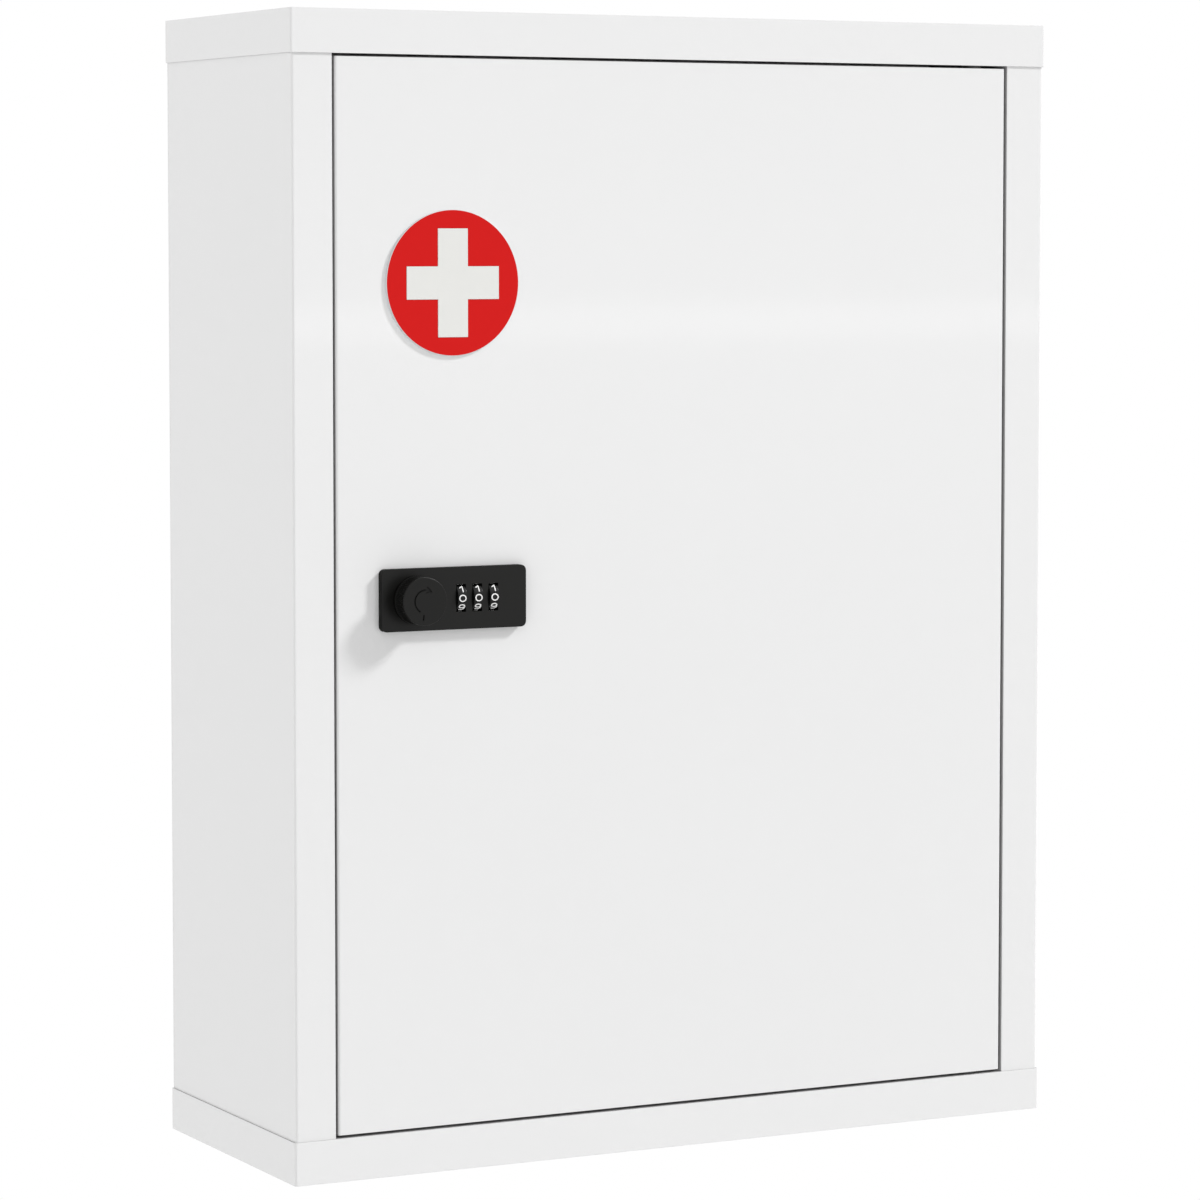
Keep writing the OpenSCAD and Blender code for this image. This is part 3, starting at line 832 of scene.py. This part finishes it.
def paint_gap_shade(piece: bpy.types.Object, planes: Sequence[tuple[int, float, float]],
                facing: float = 0.9, near: float = 0.1 * MM) -> None:
    """Paint shade onto the faces of a sheet that stand in the door's gap, with the grey finish that
    darkens the gap.

    Args:
        piece: A dressed sheet.
        planes: Number of the axis, sign of the outward normal and place of each plane.
        facing: Least share of a face's normal along the axis.
        near: How far from its plane a face may lie.
    """
    normals, centres = (vectors(piece.data.polygons, what) for what in ("normal", "center"))
    gap_shaded = np.zeros(len(normals), bool)
    for axis, sign, place in planes:
        # Painted shade: faces that lie on a gap plane and face along its axis get the grey finish
        gap_shaded |= (normals[:, axis] * sign > facing) & (np.abs(centres[:, axis] - place) < near)
    repaint(piece, gap_shaded, Detail.GAP_SHADE)


# ---- Sub-assemblies ----


@dataclass
class Carcass:
    """The folded sheets of the cabinet and what is fixed to them.

    Attributes:
        fold: Rounding of the edges of the folded sheets.
        bare_edge: Rounding of the edges of the back and the shelf angles.
        door_gap: Width of the gap round the door.
        rivet_tail: How far a rivet's shank reaches past its plate, into the cabinet.
        rivet_shank: Radius of the rivets' shanks.
        rivet_head: Height of their heads.
        rivet_dome: Height of the domes on the heads.
        dome_top: Radius of the domes' flat tops, in parts of the heads'.
        buffer_round: Rounding of the buffers' rims.
        buffer_dimple: Depth of the dimple in their faces.
        dimple_rim: Radius of the dimple, in parts of the buffer's.
        dimple_floor: Radius of its flat floor, in the same parts.
    """

    fold: float = 0.2 * MM
    bare_edge: float = 0.16 * MM
    door_gap: float = 1.0 * MM
    rivet_tail: float = 0.6 * MM
    rivet_shank: float = 1.6 * MM
    rivet_head: float = 0.8 * MM
    rivet_dome: float = 0.35 * MM
    dome_top: float = 0.62
    buffer_round: float = 0.55 * MM
    buffer_dimple: float = 0.15 * MM
    dimple_rim: float = 0.45
    dimple_floor: float = 0.3

    def sheets(self) -> None:
        """Round the sheets' edges, and paint shade on their walls in the door's gap with a grey
        finish.
        """
        low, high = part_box("door_pan")
        for node, axis, sign, place in (
                ("top_cap", 2, -1.0, high.z + self.door_gap),
                ("bottom_cap", 2, 1.0, low.z - self.door_gap),
                ("left_side", 0, 1.0, low.x - self.door_gap),
                ("right_side", 0, -1.0, high.x + self.door_gap)):
            piece = RoundedCopy(node, self.fold, Slot.WHITE_STEEL).build()
            # Painted shade: the wall of this sheet in the door's gap gets the grey finish
            paint_gap_shade(piece, [(axis, sign, place)])
        for node, width, slot in (
                ("upper_shelf", self.fold, Slot.WHITE_STEEL),
                ("lower_shelf", self.fold, Slot.WHITE_STEEL),
                ("back_panel", self.bare_edge, Slot.WHITE_STEEL),
                ("shelf_ledges", self.bare_edge, Slot.WHITE_STEEL),
                ("upper_hinge_plate", self.fold, Slot.PLATED_STEEL),
                ("lower_hinge_plate", self.fold, Slot.PLATED_STEEL)):
            RoundedCopy(node, width, slot).build()

    def rivets(self) -> None:
        """Turn the rivets of the hinge plates, with domed heads.

        The box of the node holds the four rivets: two places along X, above and below.
        """
        low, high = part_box("hinge_rivets")
        head = (high.y - low.y) / 2
        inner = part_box("upper_hinge_plate")[0].z - self.rivet_tail
        length = high.z - inner
        under = length - self.rivet_head
        profile = round_corners([
            (0, 0, 0), (self.rivet_shank, 0, 0), (self.rivet_shank, under, 0),
            (head, under, 0.12 * MM), (head, length - self.rivet_dome, 0.3 * MM),
            (head * self.dome_top, length, 0.5 * MM), (0, length, 0)])
        y = (low.y + high.y) / 2
        stand_for("hinge_rivets", "_domed",
                  [axis.turned((x, y, side * inner), profile)
                   for x in (low.x + head, high.x - head)
                   for axis, side in ((Axis.UP, 1), (Axis.DOWN, -1))], Slot.PLATED_STEEL)

    def buffers(self) -> None:
        """Turn the rubber buffers on the stop lips, with rounded rims and a dimple."""
        low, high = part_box("door_buffers")
        radius = self._buffer_radius()
        length = high.y - low.y
        floor = length - self.buffer_dimple
        profile = round_corners([
            (0, 0, 0), (radius, 0, 0), (radius, length, self.buffer_round),
            (radius * self.dimple_rim, length, 0), (radius * self.dimple_floor, floor, 0),
            (0, floor, 0)])
        stand_for("door_buffers", "_moulded",
                  [Axis.TO_FRONT.turned((x, high.y, z), profile)
                   for x in (low.x + radius, high.x - radius)
                   for z in (high.z - radius, low.z + radius)], Slot.RUBBER)

    def _buffer_radius(self) -> float:
        """Radius of a buffer: half the height of the node's points above the middle."""
        heights = vectors(frame["nodes"]["door_buffers"].data.vertices, "co")[:, 2]
        return float(np.ptp(heights[heights > 0])) / 2

    def hinge_parts(self) -> None:
        """Dress the pivot pins and their bushes, which keep their CAD shapes."""
        for end, (part, slot) in itertools.product(
                ("upper", "lower"), (("pin", Slot.PLATED_STEEL), ("bush", Slot.BUSH))):
            RACK.dress(frame["nodes"][f"{end}_pivot_{part}"], slot)

    def build(self) -> None:
        """Build and dress the whole carcass."""
        for step in (self.sheets, self.rivets, self.buffers, self.hinge_parts):
            step()


@dataclass
class Door:
    """The door's pan and stiffener, and the sign on its front.

    Attributes:
        fold: Rounding of the pan's and the stiffener's edges.
        disc_edge: Rounding of the sign's disc.
        cross_edge: Rounding of its cross.
    """

    fold: float = 0.2 * MM
    disc_edge: float = 0.12 * MM
    cross_edge: float = 0.08 * MM

    def build(self) -> None:
        """Round the door's folds and the sign's edges, and paint shade on the door's rim with a grey
        finish.
        """
        low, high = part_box("door_pan")
        pan = RoundedCopy("door_pan", self.fold, Slot.WHITE_STEEL).build()
        # Painted shade: the pan's four rim faces in the door's gap get the grey finish
        paint_gap_shade(pan, [(0, -1.0, low.x), (0, 1.0, high.x), (2, -1.0, low.z), (2, 1.0, high.z)])
        RoundedCopy("door_stiffener", self.fold, Slot.WHITE_STEEL).build()
        RoundedCopy("sign_disc", self.disc_edge, Slot.SIGN_RED).build()
        RoundedCopy("sign_cross", self.cross_edge, Slot.SIGN_WHITE).build()


@dataclass
class CrossScrew:
    """A pan-head screw with a cross recess.

    Attributes:
        foot: Where its shank starts.
        axis: From the shank's tip to the head.
        shank: Radius of the shank.
        head: Radius of the head.
        under: Height of the head's underside above the foot.
        top: Height of the head's crown above the foot.
        sink: Depth of the cross recess, in parts of the head's thickness.
        tip: Radius of the shank's tip, in parts of the shank's.
        seat: Radius of the head's underside, in parts of the head's.
        crown: Share of the head's thickness that its crown takes.
        arm: Half width of the cross's arms, in parts of the head's radius.
        reach: Length of the arms, in parts of the head's radius.
        slope: Share of the arms over which the recess falls.
        rings: Rows of points across the head.
        columns: Points round the axis.
    """

    foot: Point
    axis: Axis
    shank: float
    head: float
    under: float
    top: float
    sink: float = 0.55
    tip: float = 0.7
    seat: float = 0.97
    crown: float = 0.45
    arm: float = 0.13
    reach: float = 0.6
    slope: float = 0.35
    rings: int = 34
    columns: int = 144

    def shell(self) -> np.ndarray:
        """Work out the screw's surface.

        The shank and the side of the head are turned. On the head, height is a crown that falls
        with the fourth power of the radius, less a recess whose depth is full where the smaller of
        the two distances to the cross's arms is under their half width.

        Returns:
            The grid of points.
        """
        angle = round_angles(self.columns)
        thick = self.top - self.under
        edge = self.top - self.crown * thick
        side = np.array([[0, 0], [self.shank * self.tip, 0],
                         [self.shank, (1 - self.tip) * self.shank],
                         [self.shank, self.under], [self.head * self.seat, self.under],
                         [self.head, self.under + 0.1 * (edge - self.under)]])
        radius = np.concatenate([side[:, 0], np.linspace(self.head, 0, self.rings)])[:, None]
        on_head = np.arange(len(radius))[:, None] >= len(side)
        crown = self.top - (self.top - edge) * (radius / self.head) ** 4
        turned = np.concatenate([side[:, 1], np.zeros(self.rings)])[:, None]
        x, z = radius * np.cos(angle), radius * np.sin(angle)
        arm, reach = self.arm * self.head, self.reach * self.head
        across = np.minimum(np.abs(x), np.abs(z))
        along = np.maximum(np.abs(x), np.abs(z))
        inside = (np.clip((arm - across) / (self.slope * arm) + 0.5, 0, 1)
                  * np.clip((reach - along) / (self.slope * reach), 0, 1))
        height = np.where(on_head, crown, turned) - self.sink * thick * inside * on_head
        return self.axis.stand(self.foot, x, z, height)


@dataclass
class TurningKnob:
    """The lock's knob: a knurled rim and a face with an engraved turning arrow.

    Attributes:
        bore: Radius of the bore for the spindle.
        teeth: Number of ridges round the rim.
        tooth_depth: Depth of the grooves between them.
        per_tooth: Points on each ridge.
        foot_gap: Height of the undercut that leaves a dark line round the foot.
        foot_step: Depth of that undercut.
        plain: Height above the foot at which the ridges start.
        fade: Height over which the grooves deepen, and run out again.
        land: Plain band between the grooves and the rounded edge.
        edge: Rounding between the rim and the face.
        rings: Rows of points across the face.
        mark_depth: Depth of the engraved marks.
        mark_half: Half the width of their lines.
        mark_soft: Width over which their walls fall.
        arc_radius: Radius of the arrow's arc.
        arc_from: Angle at which the arc starts, counted from +X towards +Z.
        arc_to: Angle at which it ends in the head.
        head_long: Length of the head.
        head_half: Half the width of the head.
        index_at: Angle of the index line.
        index_from: Radius at which the index line starts.
        index_to: Radius at which it ends.
    """

    bore: float = 3.55 * MM
    teeth: int = 72
    tooth_depth: float = 0.28 * MM
    per_tooth: int = 6
    foot_gap: float = 0.4 * MM
    foot_step: float = 0.6 * MM
    plain: float = 1.2 * MM
    fade: float = 0.2 * MM
    land: float = 0.1 * MM
    edge: float = 0.3 * MM
    rings: int = 84
    mark_depth: float = 0.42 * MM
    mark_half: float = 0.2 * MM
    mark_soft: float = 0.1 * MM
    arc_radius: float = 3.95 * MM
    arc_from: float = 241.0
    arc_to: float = 84.0
    head_long: float = 2.3 * MM
    head_half: float = 1.1 * MM
    index_at: float = 263.0
    index_from: float = 4.5 * MM
    index_to: float = 6.6 * MM

    def _rim(self, radius: float, tall: float, angle: np.ndarray) -> tuple[np.ndarray, np.ndarray]:
        """Rows up the undercut foot and the knurled rim, and over its edge.

        The foot is drawn in by its step. The groove's depth is a triangle wave of the angle, times
        a ramp that rises and falls at the two ends of the rim.

        Args:
            radius: The knob's radius.
            tall: Height of its face above the foot.
            angle: Angles of the columns.

        Returns:
            Radii and heights, as arrays (rows, columns).
        """
        side = tall - self.edge
        rise = np.array([self.foot_gap, self.foot_gap, self.plain, self.plain + self.fade,
                         tall * 0.5, side - self.land - self.fade, side - self.land, side])
        inset = self.foot_step * np.array([1.0, 0, 0, 0, 0, 0, 0, 0])[:, None]
        ramp = np.array([0.0, 0, 0, 1, 1, 1, 0, 0])[:, None]
        wave = np.abs(((angle * self.teeth / (2 * math.pi)) % 1.0) * 2 - 1)
        rim = radius - inset - self.tooth_depth * ramp * (1 - wave)
        turn = np.linspace(0, math.pi / 2, 6)[1:, None]
        over_r = radius - self.edge * (1 - np.cos(turn)) + 0 * angle
        over_h = tall - self.edge * (1 - np.sin(turn)) + 0 * angle
        return (np.concatenate([rim, over_r]),
                np.concatenate([rise[:, None] + 0 * angle, over_h]))

    def _within(self, room: np.ndarray) -> np.ndarray:
        """Share of the depth where so much room is left to the edge of a mark's line."""
        return np.clip(room / self.mark_soft + 0.5, 0, 1)

    def _marks(self, radius: np.ndarray, angle: np.ndarray) -> np.ndarray:
        """Share of the full engraving depth at each point of the face.

        The arc is the band about its radius between its two angles. The head narrows with the
        distance past the arc's end, and the index is a band about one angle near the rim.

        Args:
            radius: Radii of the rows.
            angle: Angles of the columns.

        Returns:
            Values of 0 to 1, as an array (rows, columns).
        """
        degrees = np.degrees(angle) % 360
        off = np.abs(radius - self.arc_radius)
        arc_part = (degrees >= self.arc_to) & (degrees <= self.arc_from)
        past = np.radians(self.arc_to - degrees) * self.arc_radius
        taper = self.head_half * (1 - past / self.head_long)
        head_part = (past >= 0) & (past <= self.head_long)
        sideways = np.abs(radius * np.radians(degrees - self.index_at))
        index_part = (np.clip((radius - self.index_from) / self.mark_soft, 0, 1)
                      * np.clip((self.index_to - radius) / self.mark_soft, 0, 1))
        return np.maximum.reduce([self._within(self.mark_half - off) * arc_part,
                                  self._within(taper - off) * head_part,
                                  self._within(self.mark_half - sideways) * index_part])

    def build(self) -> bpy.types.Object:
        """Make the knob in the place of its node.

        The profile runs from the bore's end down the bore, out over the foot, up the rim and in
        across the face to the axis.

        Returns:
            The knob.
        """
        low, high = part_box("lock_knob")
        radius, tall = (high.x - low.x) / 2, high.y - low.y
        foot = ((low.x + high.x) / 2, high.y, (low.z + high.z) / 2)
        depth = foot[1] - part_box("knob_spindle")[0].y
        angle = round_angles(self.teeth * self.per_tooth)
        foot_rows = np.array([[0, depth], [self.bore, depth], [self.bore, 0],
                              [radius - self.foot_step, 0]])
        rim_r, rim_h = self._rim(radius, tall, angle)
        across = np.linspace(radius - self.edge, 0, self.rings)[1:, None]
        face_h = tall - self.mark_depth * self._marks(across, angle[None, :])
        radii = np.concatenate([foot_rows[:, :1] + 0 * angle, rim_r, across + 0 * angle])
        heights = np.concatenate([foot_rows[:, 1:] + 0 * angle, rim_h, face_h])
        grid = Axis.TO_FRONT.stand(foot, radii * np.cos(angle), radii * np.sin(angle), heights)
        return stand_for("lock_knob", "_knurled", [grid], Slot.LOCK_BLACK, Detail.KNOB_BLACK)


def line(start: Flat, end: Flat, steps: int = 9) -> np.ndarray:
    """Points of a straight line, evenly spaced."""
    return np.linspace(start, end, steps)


def arc(centre: Flat, radii: Flat, start: float, end: float, steps: int = 28) -> np.ndarray:
    """Points of an elliptical arc, from one angle to another in degrees from the right."""
    angle = np.radians(np.linspace(start, end, steps))
    return np.array(centre) + np.array(radii) * np.stack([np.cos(angle), np.sin(angle)], -1)


# Centre lines of the digits 0 to 9, in a field that reaches from -1 to 1 both ways
DIGIT_LINES: tuple[tuple[np.ndarray, ...], ...] = (
    (arc((0, 0), (1, 1), 90, 450, 49),),
    (line((0.3, 1), (0.3, -1)), line((0.3, 1), (-0.5, 0.4), 6)),
    (arc((0, 0.42), (0.84, 0.58), 168, -38), line((0.66, 0.06), (-0.86, -1)),
     line((-0.86, -1), (0.9, -1))),
    (arc((0, 0.52), (0.74, 0.48), 155, -90), arc((0, -0.48), (0.88, 0.52), 90, -155)),
    (line((0.36, 1), (0.36, -1)), line((0.36, 1), (-0.94, -0.42)),
     line((-0.94, -0.42), (0.94, -0.42))),
    (line((0.74, 1), (-0.6, 1)), line((-0.6, 1), (-0.66, 0.14)),
     arc((-0.06, -0.36), (0.92, 0.64), 131, -148)),
    (arc((0, -0.42), (0.86, 0.58), 180, 540, 41), arc((0.16, 0.02), (1.04, 0.98), 205, 62)),
    (line((-0.88, 1), (0.88, 1)), line((0.88, 1), (-0.26, -1))),
    (arc((0, 0.51), (0.72, 0.49), -90, 270, 37), arc((0, -0.48), (0.9, 0.52), 90, 450, 41)),
    (arc((0, 0.42), (0.86, 0.58), 0, 360, 41), arc((-0.16, -0.02), (1.04, 0.98), 25, -118)),
)


@dataclass
class PrintedDial:
    """The ten digits printed round one dial.

    Attributes:
        node: The dial's node.
        digit_height: Height of a digit over its lines.
        digit_width: Width of the digit 0 over its lines.
        stroke: Width of the lines.
        end_rows: Rows of points on the round end of a line.
        band: Width of the dial's ring, at the right end of its box.
        proud: How far the print stands above the dial.
        layer: How much higher each further line of a digit lies, where lines cross.
        film: Thickness of the print, partly in the dial.
    """

    node: str
    digit_height: float = 2.56 * MM
    digit_width: float = 2.76 * MM
    stroke: float = 0.4 * MM
    end_rows: int = 5
    band: float = 3.4 * MM
    proud: float = 0.02 * MM
    layer: float = 0.004 * MM
    film: float = 0.07 * MM

    def _ribbon(self, path: np.ndarray) -> np.ndarray:
        """Give a centre line its width, with half-round ends.

        Past each end the half width follows half * sqrt(1 - t^2) while the centre goes on by
        half * t, with t from 0 to 1. A closed line gets no ends.

        Args:
            path: Points of the centre line, in the digit's own field.

        Returns:
            Right and left edge of each row, as an array (rows, 2, 2) in metres.
        """
        half = self.stroke / 2
        reach = np.array([self.digit_width - self.stroke, self.digit_height - self.stroke]) / 2
        centre = path * reach
        wide = np.full(len(centre), half)
        way = np.gradient(centre, axis=0)
        closed = np.allclose(centre[0], centre[-1])
        if closed:
            way[0] = way[-1] = centre[1] - centre[-2]
        way /= np.linalg.norm(way, axis=1)[:, None]
        if not closed:
            t = np.linspace(0, 1, self.end_rows + 1)[1:]
            round_end = half * np.sqrt(1 - t ** 2)
            ahead = centre[-1] + half * t[:, None] * way[-1]
            behind = centre[0] - half * t[::-1, None] * way[0]
            centre = np.concatenate([behind, centre, ahead])
            wide = np.concatenate([round_end[::-1], wide, round_end])
            way = np.pad(way, ((len(t), len(t)), (0, 0)), "edge")
        left = np.stack([-way[:, 1], way[:, 0]], -1) * wide[:, None]
        return np.stack([centre - left, centre + left], 1)

    def build(self) -> bpy.types.Object:
        """Wrap the digits round the dial.

        A flat point (u, v) of the digit k goes to x = u and to the angle k / 10 of a turn +
        v / radius above the front, at the dial's radius.

        Returns:
            The piece with all ten digits.
        """
        low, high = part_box(self.node)
        middle = (low + high) / 2
        dial_radius = (high.z - low.z) / 2
        points, faces, start = [], [], 0
        for digit, lines in enumerate(DIGIT_LINES):
            for layer, path in enumerate(lines):
                radius = dial_radius + self.proud + self.layer * layer
                flat = self._ribbon(path)
                turn = 2 * math.pi * digit / len(DIGIT_LINES) + flat[..., 1] / radius
                points.append(np.stack(
                    [high.x - self.band / 2 + flat[..., 0], middle.y - radius * np.cos(turn),
                     middle.z + radius * np.sin(turn)], -1).reshape(-1, 3))
                right = start + 2 * np.arange(len(flat) - 1)
                faces.append(np.stack([right, right + 2, right + 3, right + 1], -1))
                start += 2 * len(flat)
        mesh = bpy.data.meshes.new(self.node + "_digits")
        mesh.from_pydata(np.concatenate(points).tolist(), [], np.concatenate(faces).tolist())
        with editing(mesh) as shape:
            bmesh.ops.remove_doubles(shape, verts=shape.verts, dist=MERGE)
        piece = riding(self.node + "_digits", mesh, self.node)
        settle(piece.modifiers.new("film", "SOLIDIFY"), thickness=self.film, offset=-1)
        RACK.dress(piece, Slot.DIAL_BLACK, Detail.DIGIT_PAINT)
        LOG.info("%s: ten digits", piece.name)
        return piece


@dataclass
class CombinationLock:
    """The lock: its housing and cover, dials, knob, screws and the parts behind.

    Attributes:
        plate_edge: Rounding of the housing, the rear cover and the tongue.
        dial_edge: Rounding of the dials and the clamp plate.
        washer_edge: Rounding of the tongue's washer.
        front_limit: Y share of a normal up to which a face counts as front.
    """

    plate_edge: float = 0.25 * MM
    dial_edge: float = 0.2 * MM
    washer_edge: float = 0.1 * MM
    front_limit: float = -0.7

    def housing(self) -> None:
        """Round the housing and what lies behind it, and leave the housing's sides dull.

        Only the front of the housing is polished.
        """
        housing = RoundedCopy("lock_housing", self.plate_edge, Slot.LOCK_BLACK, 3).build()
        frontward = vectors(housing.data.polygons, "normal")[:, 1]
        repaint(housing, frontward > self.front_limit, Detail.DULL_BLACK)
        for node, width, slot in (
                ("lock_rear_cover", self.plate_edge, Slot.LOCK_BLACK),
                ("lock_clamp_plate", self.dial_edge, Slot.PLATED_STEEL),
                ("lock_tongue", self.plate_edge, Slot.PLATED_STEEL),
                ("tongue_washer", self.washer_edge, Slot.PLATED_STEEL)):
            RoundedCopy(node, width, slot).build()

    def dials(self) -> None:
        """Round the dials and print their digits."""
        for node in ("dial_wheel_left", "dial_wheel_middle", "dial_wheel_right"):
            RoundedCopy(node, self.dial_edge, Slot.DIAL_BLACK).build()
            PrintedDial(node).build()

    def _screws(self, node: str, head: float, shank: float, thick: float, across: int,
                up: int) -> None:
        """Make the screws of one node, which stand in rows inside its box.

        Args:
            node: The node that they replace.
            head: Radius of their heads.
            shank: Radius of their shanks.
            thick: Thickness of their heads.
            across: How many stand side by side.
            up: How many stand one above the other.
        """
        low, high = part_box(node)
        long = high.y - low.y
        places = itertools.product(np.linspace(low.x + head, high.x - head, across),
                                   np.linspace(low.z + head, high.z - head, up))
        stand_for(node, "_crossed",
                  [CrossScrew((x, low.y, z), Axis.TO_WALL, shank, head, long - thick,
                              long).shell() for x, z in places], Slot.PLATED_STEEL)

    def screws(self) -> None:
        """Make all screws. Where a box is one head high or wide, it gives the head's radius."""
        low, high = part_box("lock_clamp_screws")
        self._screws("lock_clamp_screws", head=(high.z - low.z) / 2, shank=1.25 * MM,
                     thick=1.3 * MM, across=2, up=1)
        self._screws("rear_cover_screws", head=1.8 * MM, shank=1.0 * MM, thick=0.8 * MM,
                     across=2, up=2)
        low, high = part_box("tongue_screw")
        self._screws("tongue_screw", head=(high.x - low.x) / 2, shank=1.5 * MM,
                     thick=1.8 * MM, across=1, up=1)

    def works(self) -> None:
        """Dress the parts inside, which keep their CAD shapes."""
        for node in ("dial_axle", "dial_detent_spring", "locking_bar_spring", "locking_bar",
                     "knob_spindle"):
            RACK.dress(frame["nodes"][node], Slot.PLATED_STEEL)

    def build(self) -> None:
        """Build and dress the whole lock."""
        for step in (self.housing, self.dials, TurningKnob().build, self.screws, self.works):
            step()


# ---- Studio ----


@dataclass
class Studio:
    """Camera, lamps, world and floor.

    Attributes:
        eye: Place of the camera.
        heading: Turn of the camera about Z, in degrees.
        tilt: How far the camera looks below the horizon, in degrees.
        shift: How far the picture lies above the lens's axis, in parts of its width.
        lens: Focal length, in millimetres on a 36 mm frame.
        aim: The point that the main lamp faces.
        key_way: Direction from there to the main lamp.
        key_away: Distance of the main lamp.
        key_size: Side of the main lamp.
        key_power: Its power in watts.
        strip_place: Middle of the low strip whose faint reflection crosses the door.
        strip_power: Its power in watts.
        strip_size: Its width and height.
        ambient: Radiance of the surroundings.
        left_gain: How much brighter the surroundings are at the left.
        low_gain: How much brighter they are below.
        floor_z: Height of the floor.
        floor_r: Radius of the floor.
        floor_corners: Number of points on its rim.
    """

    eye: Point = (-0.7474, -1.4939, 0.1248)
    heading: float = -27.333
    tilt: float = 3.798
    shift: float = -0.06
    lens: float = 133.81
    aim: Point = (0.0, -0.1, 0.0)
    key_way: Point = (0.676, -0.408, 0.614)
    key_away: float = 11.0
    key_size: float = 1.6
    key_power: float = 784.0
    strip_place: Point = (1.3, -2.6, 0.037)
    strip_power: float = 0.62
    strip_size: Flat = (1.3, 0.036)
    ambient: float = 0.739
    left_gain: float = 0.281
    low_gain: float = 0.18
    floor_z: float = -0.8
    floor_r: float = 1.6
    floor_corners: int = 96

    def camera(self) -> None:
        """Set the camera where the photograph was taken from."""
        data = settle(bpy.data.cameras.new("camera"), lens=self.lens, sensor_width=36.0,
                      shift_y=self.shift, clip_start=0.01)
        turn = (math.radians(90.0 - self.tilt), 0.0, math.radians(self.heading))
        bpy.context.scene.camera = settle(put_up("camera", data), location=self.eye,
                                          rotation_euler=turn)

    def lamp(self, name: str, place: Point, aim: Point, power: float, wide: float,
             tall: float) -> None:
        """Put up one rectangular lamp.

        Args:
            name: Its name.
            place: Where it hangs.
            aim: The point that it faces.
            power: Its power in watts.
            wide: Its width.
            tall: Its height.
        """
        data = settle(bpy.data.lights.new(name, "AREA"), shape="RECTANGLE", size=wide,
                      size_y=tall, energy=power)
        way = np.array(aim) - np.array(place)
        dip = math.atan2(math.hypot(way[0], way[1]), -way[2])
        settle(put_up(name, data), location=place,
               rotation_euler=(dip, 0.0, math.atan2(way[1], way[0]) - math.pi / 2))

    def lamps(self) -> None:
        """Put up the main lamp at the upper right and a faint strip before the door."""
        way = np.array(self.key_way) / np.linalg.norm(self.key_way)
        place = tuple(np.array(self.aim) + way * self.key_away)
        self.lamp("key", place, self.aim, self.key_power, self.key_size, self.key_size)
        door = (self.strip_place[0], self.aim[1], self.strip_place[2])
        self.lamp("strip", self.strip_place, door, self.strip_power, *self.strip_size)

    def world(self) -> None:
        """Light the cabinet from all round, a little more from the left and from below.

        The radiance is ambient - left_gain * x - low_gain * z, where x and z are the direction's
        shares towards +X and +Z. Rays from the camera, reflections and refractions see plain
        white.
        """
        world = bpy.data.worlds.new("surroundings")
        world.use_nodes = True
        bpy.context.scene.world = world
        graph = Graph(world.node_tree)
        graph.tree.nodes.clear()
        way = graph.add("ShaderNodeTexCoord").outputs["Generated"]
        parts = graph.add("ShaderNodeSeparateXYZ", {0: way}).outputs
        across = graph.math("MULTIPLY", parts["X"], -self.left_gain)
        upward = graph.math("MULTIPLY", parts["Z"], -self.low_gain)
        level = graph.math("ADD", graph.math("ADD", across, upward), self.ambient)
        light, white = (graph.add("ShaderNodeBackground", {"Color": WHITE, "Strength": strength})
                        for strength in (level, 1.0))
        rays = graph.add("ShaderNodeLightPath").outputs
        seen = graph.math("MAXIMUM", rays["Is Camera Ray"],
                          graph.math("MAXIMUM", rays["Is Glossy Ray"],
                                     rays["Is Transmission Ray"]))
        mix = graph.add("ShaderNodeMixShader", {0: seen, 1: light.outputs[0],
                                                2: white.outputs[0]})
        graph.add("ShaderNodeOutputWorld", {"Surface": mix.outputs[0]})

    def floor(self) -> None:
        """Lay a round pale floor below the hung cabinet."""
        ring = round_angles(self.floor_corners)
        points = np.stack([self.floor_r * np.cos(ring), self.floor_r * np.sin(ring),
                           np.full(len(ring), self.floor_z)], -1)
        mesh = bpy.data.meshes.new("floor")
        mesh.from_pydata(points.tolist(), [], [list(range(len(ring)))])
        floor = put_up("floor", mesh)
        mesh.materials.append(FadingFloor(
            "pale_floor", (0.8, 0.8, 0.8), 0.6, 0.7, drift=0.004, grain_scale=90.0,
            grain_depth=0.01 * MM, specular=0.2, middle=(0.0, 0.0, self.floor_z)).build())

    def build(self) -> None:
        """Set up the whole studio."""
        for step in (self.camera, self.world, self.lamps, self.floor):
            step()
        bpy.context.scene.view_settings.view_transform = "Standard"


def main() -> None:
    """Build the cabinet's dress and the studio in order."""
    logging.basicConfig(level=logging.INFO, format="%(name)s: %(message)s", stream=sys.stdout)
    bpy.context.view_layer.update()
    RACK.stock()
    Studio().build()
    Carcass().build()
    Door().build()
    CombinationLock().build()


if __name__ == "__main__":
    main()
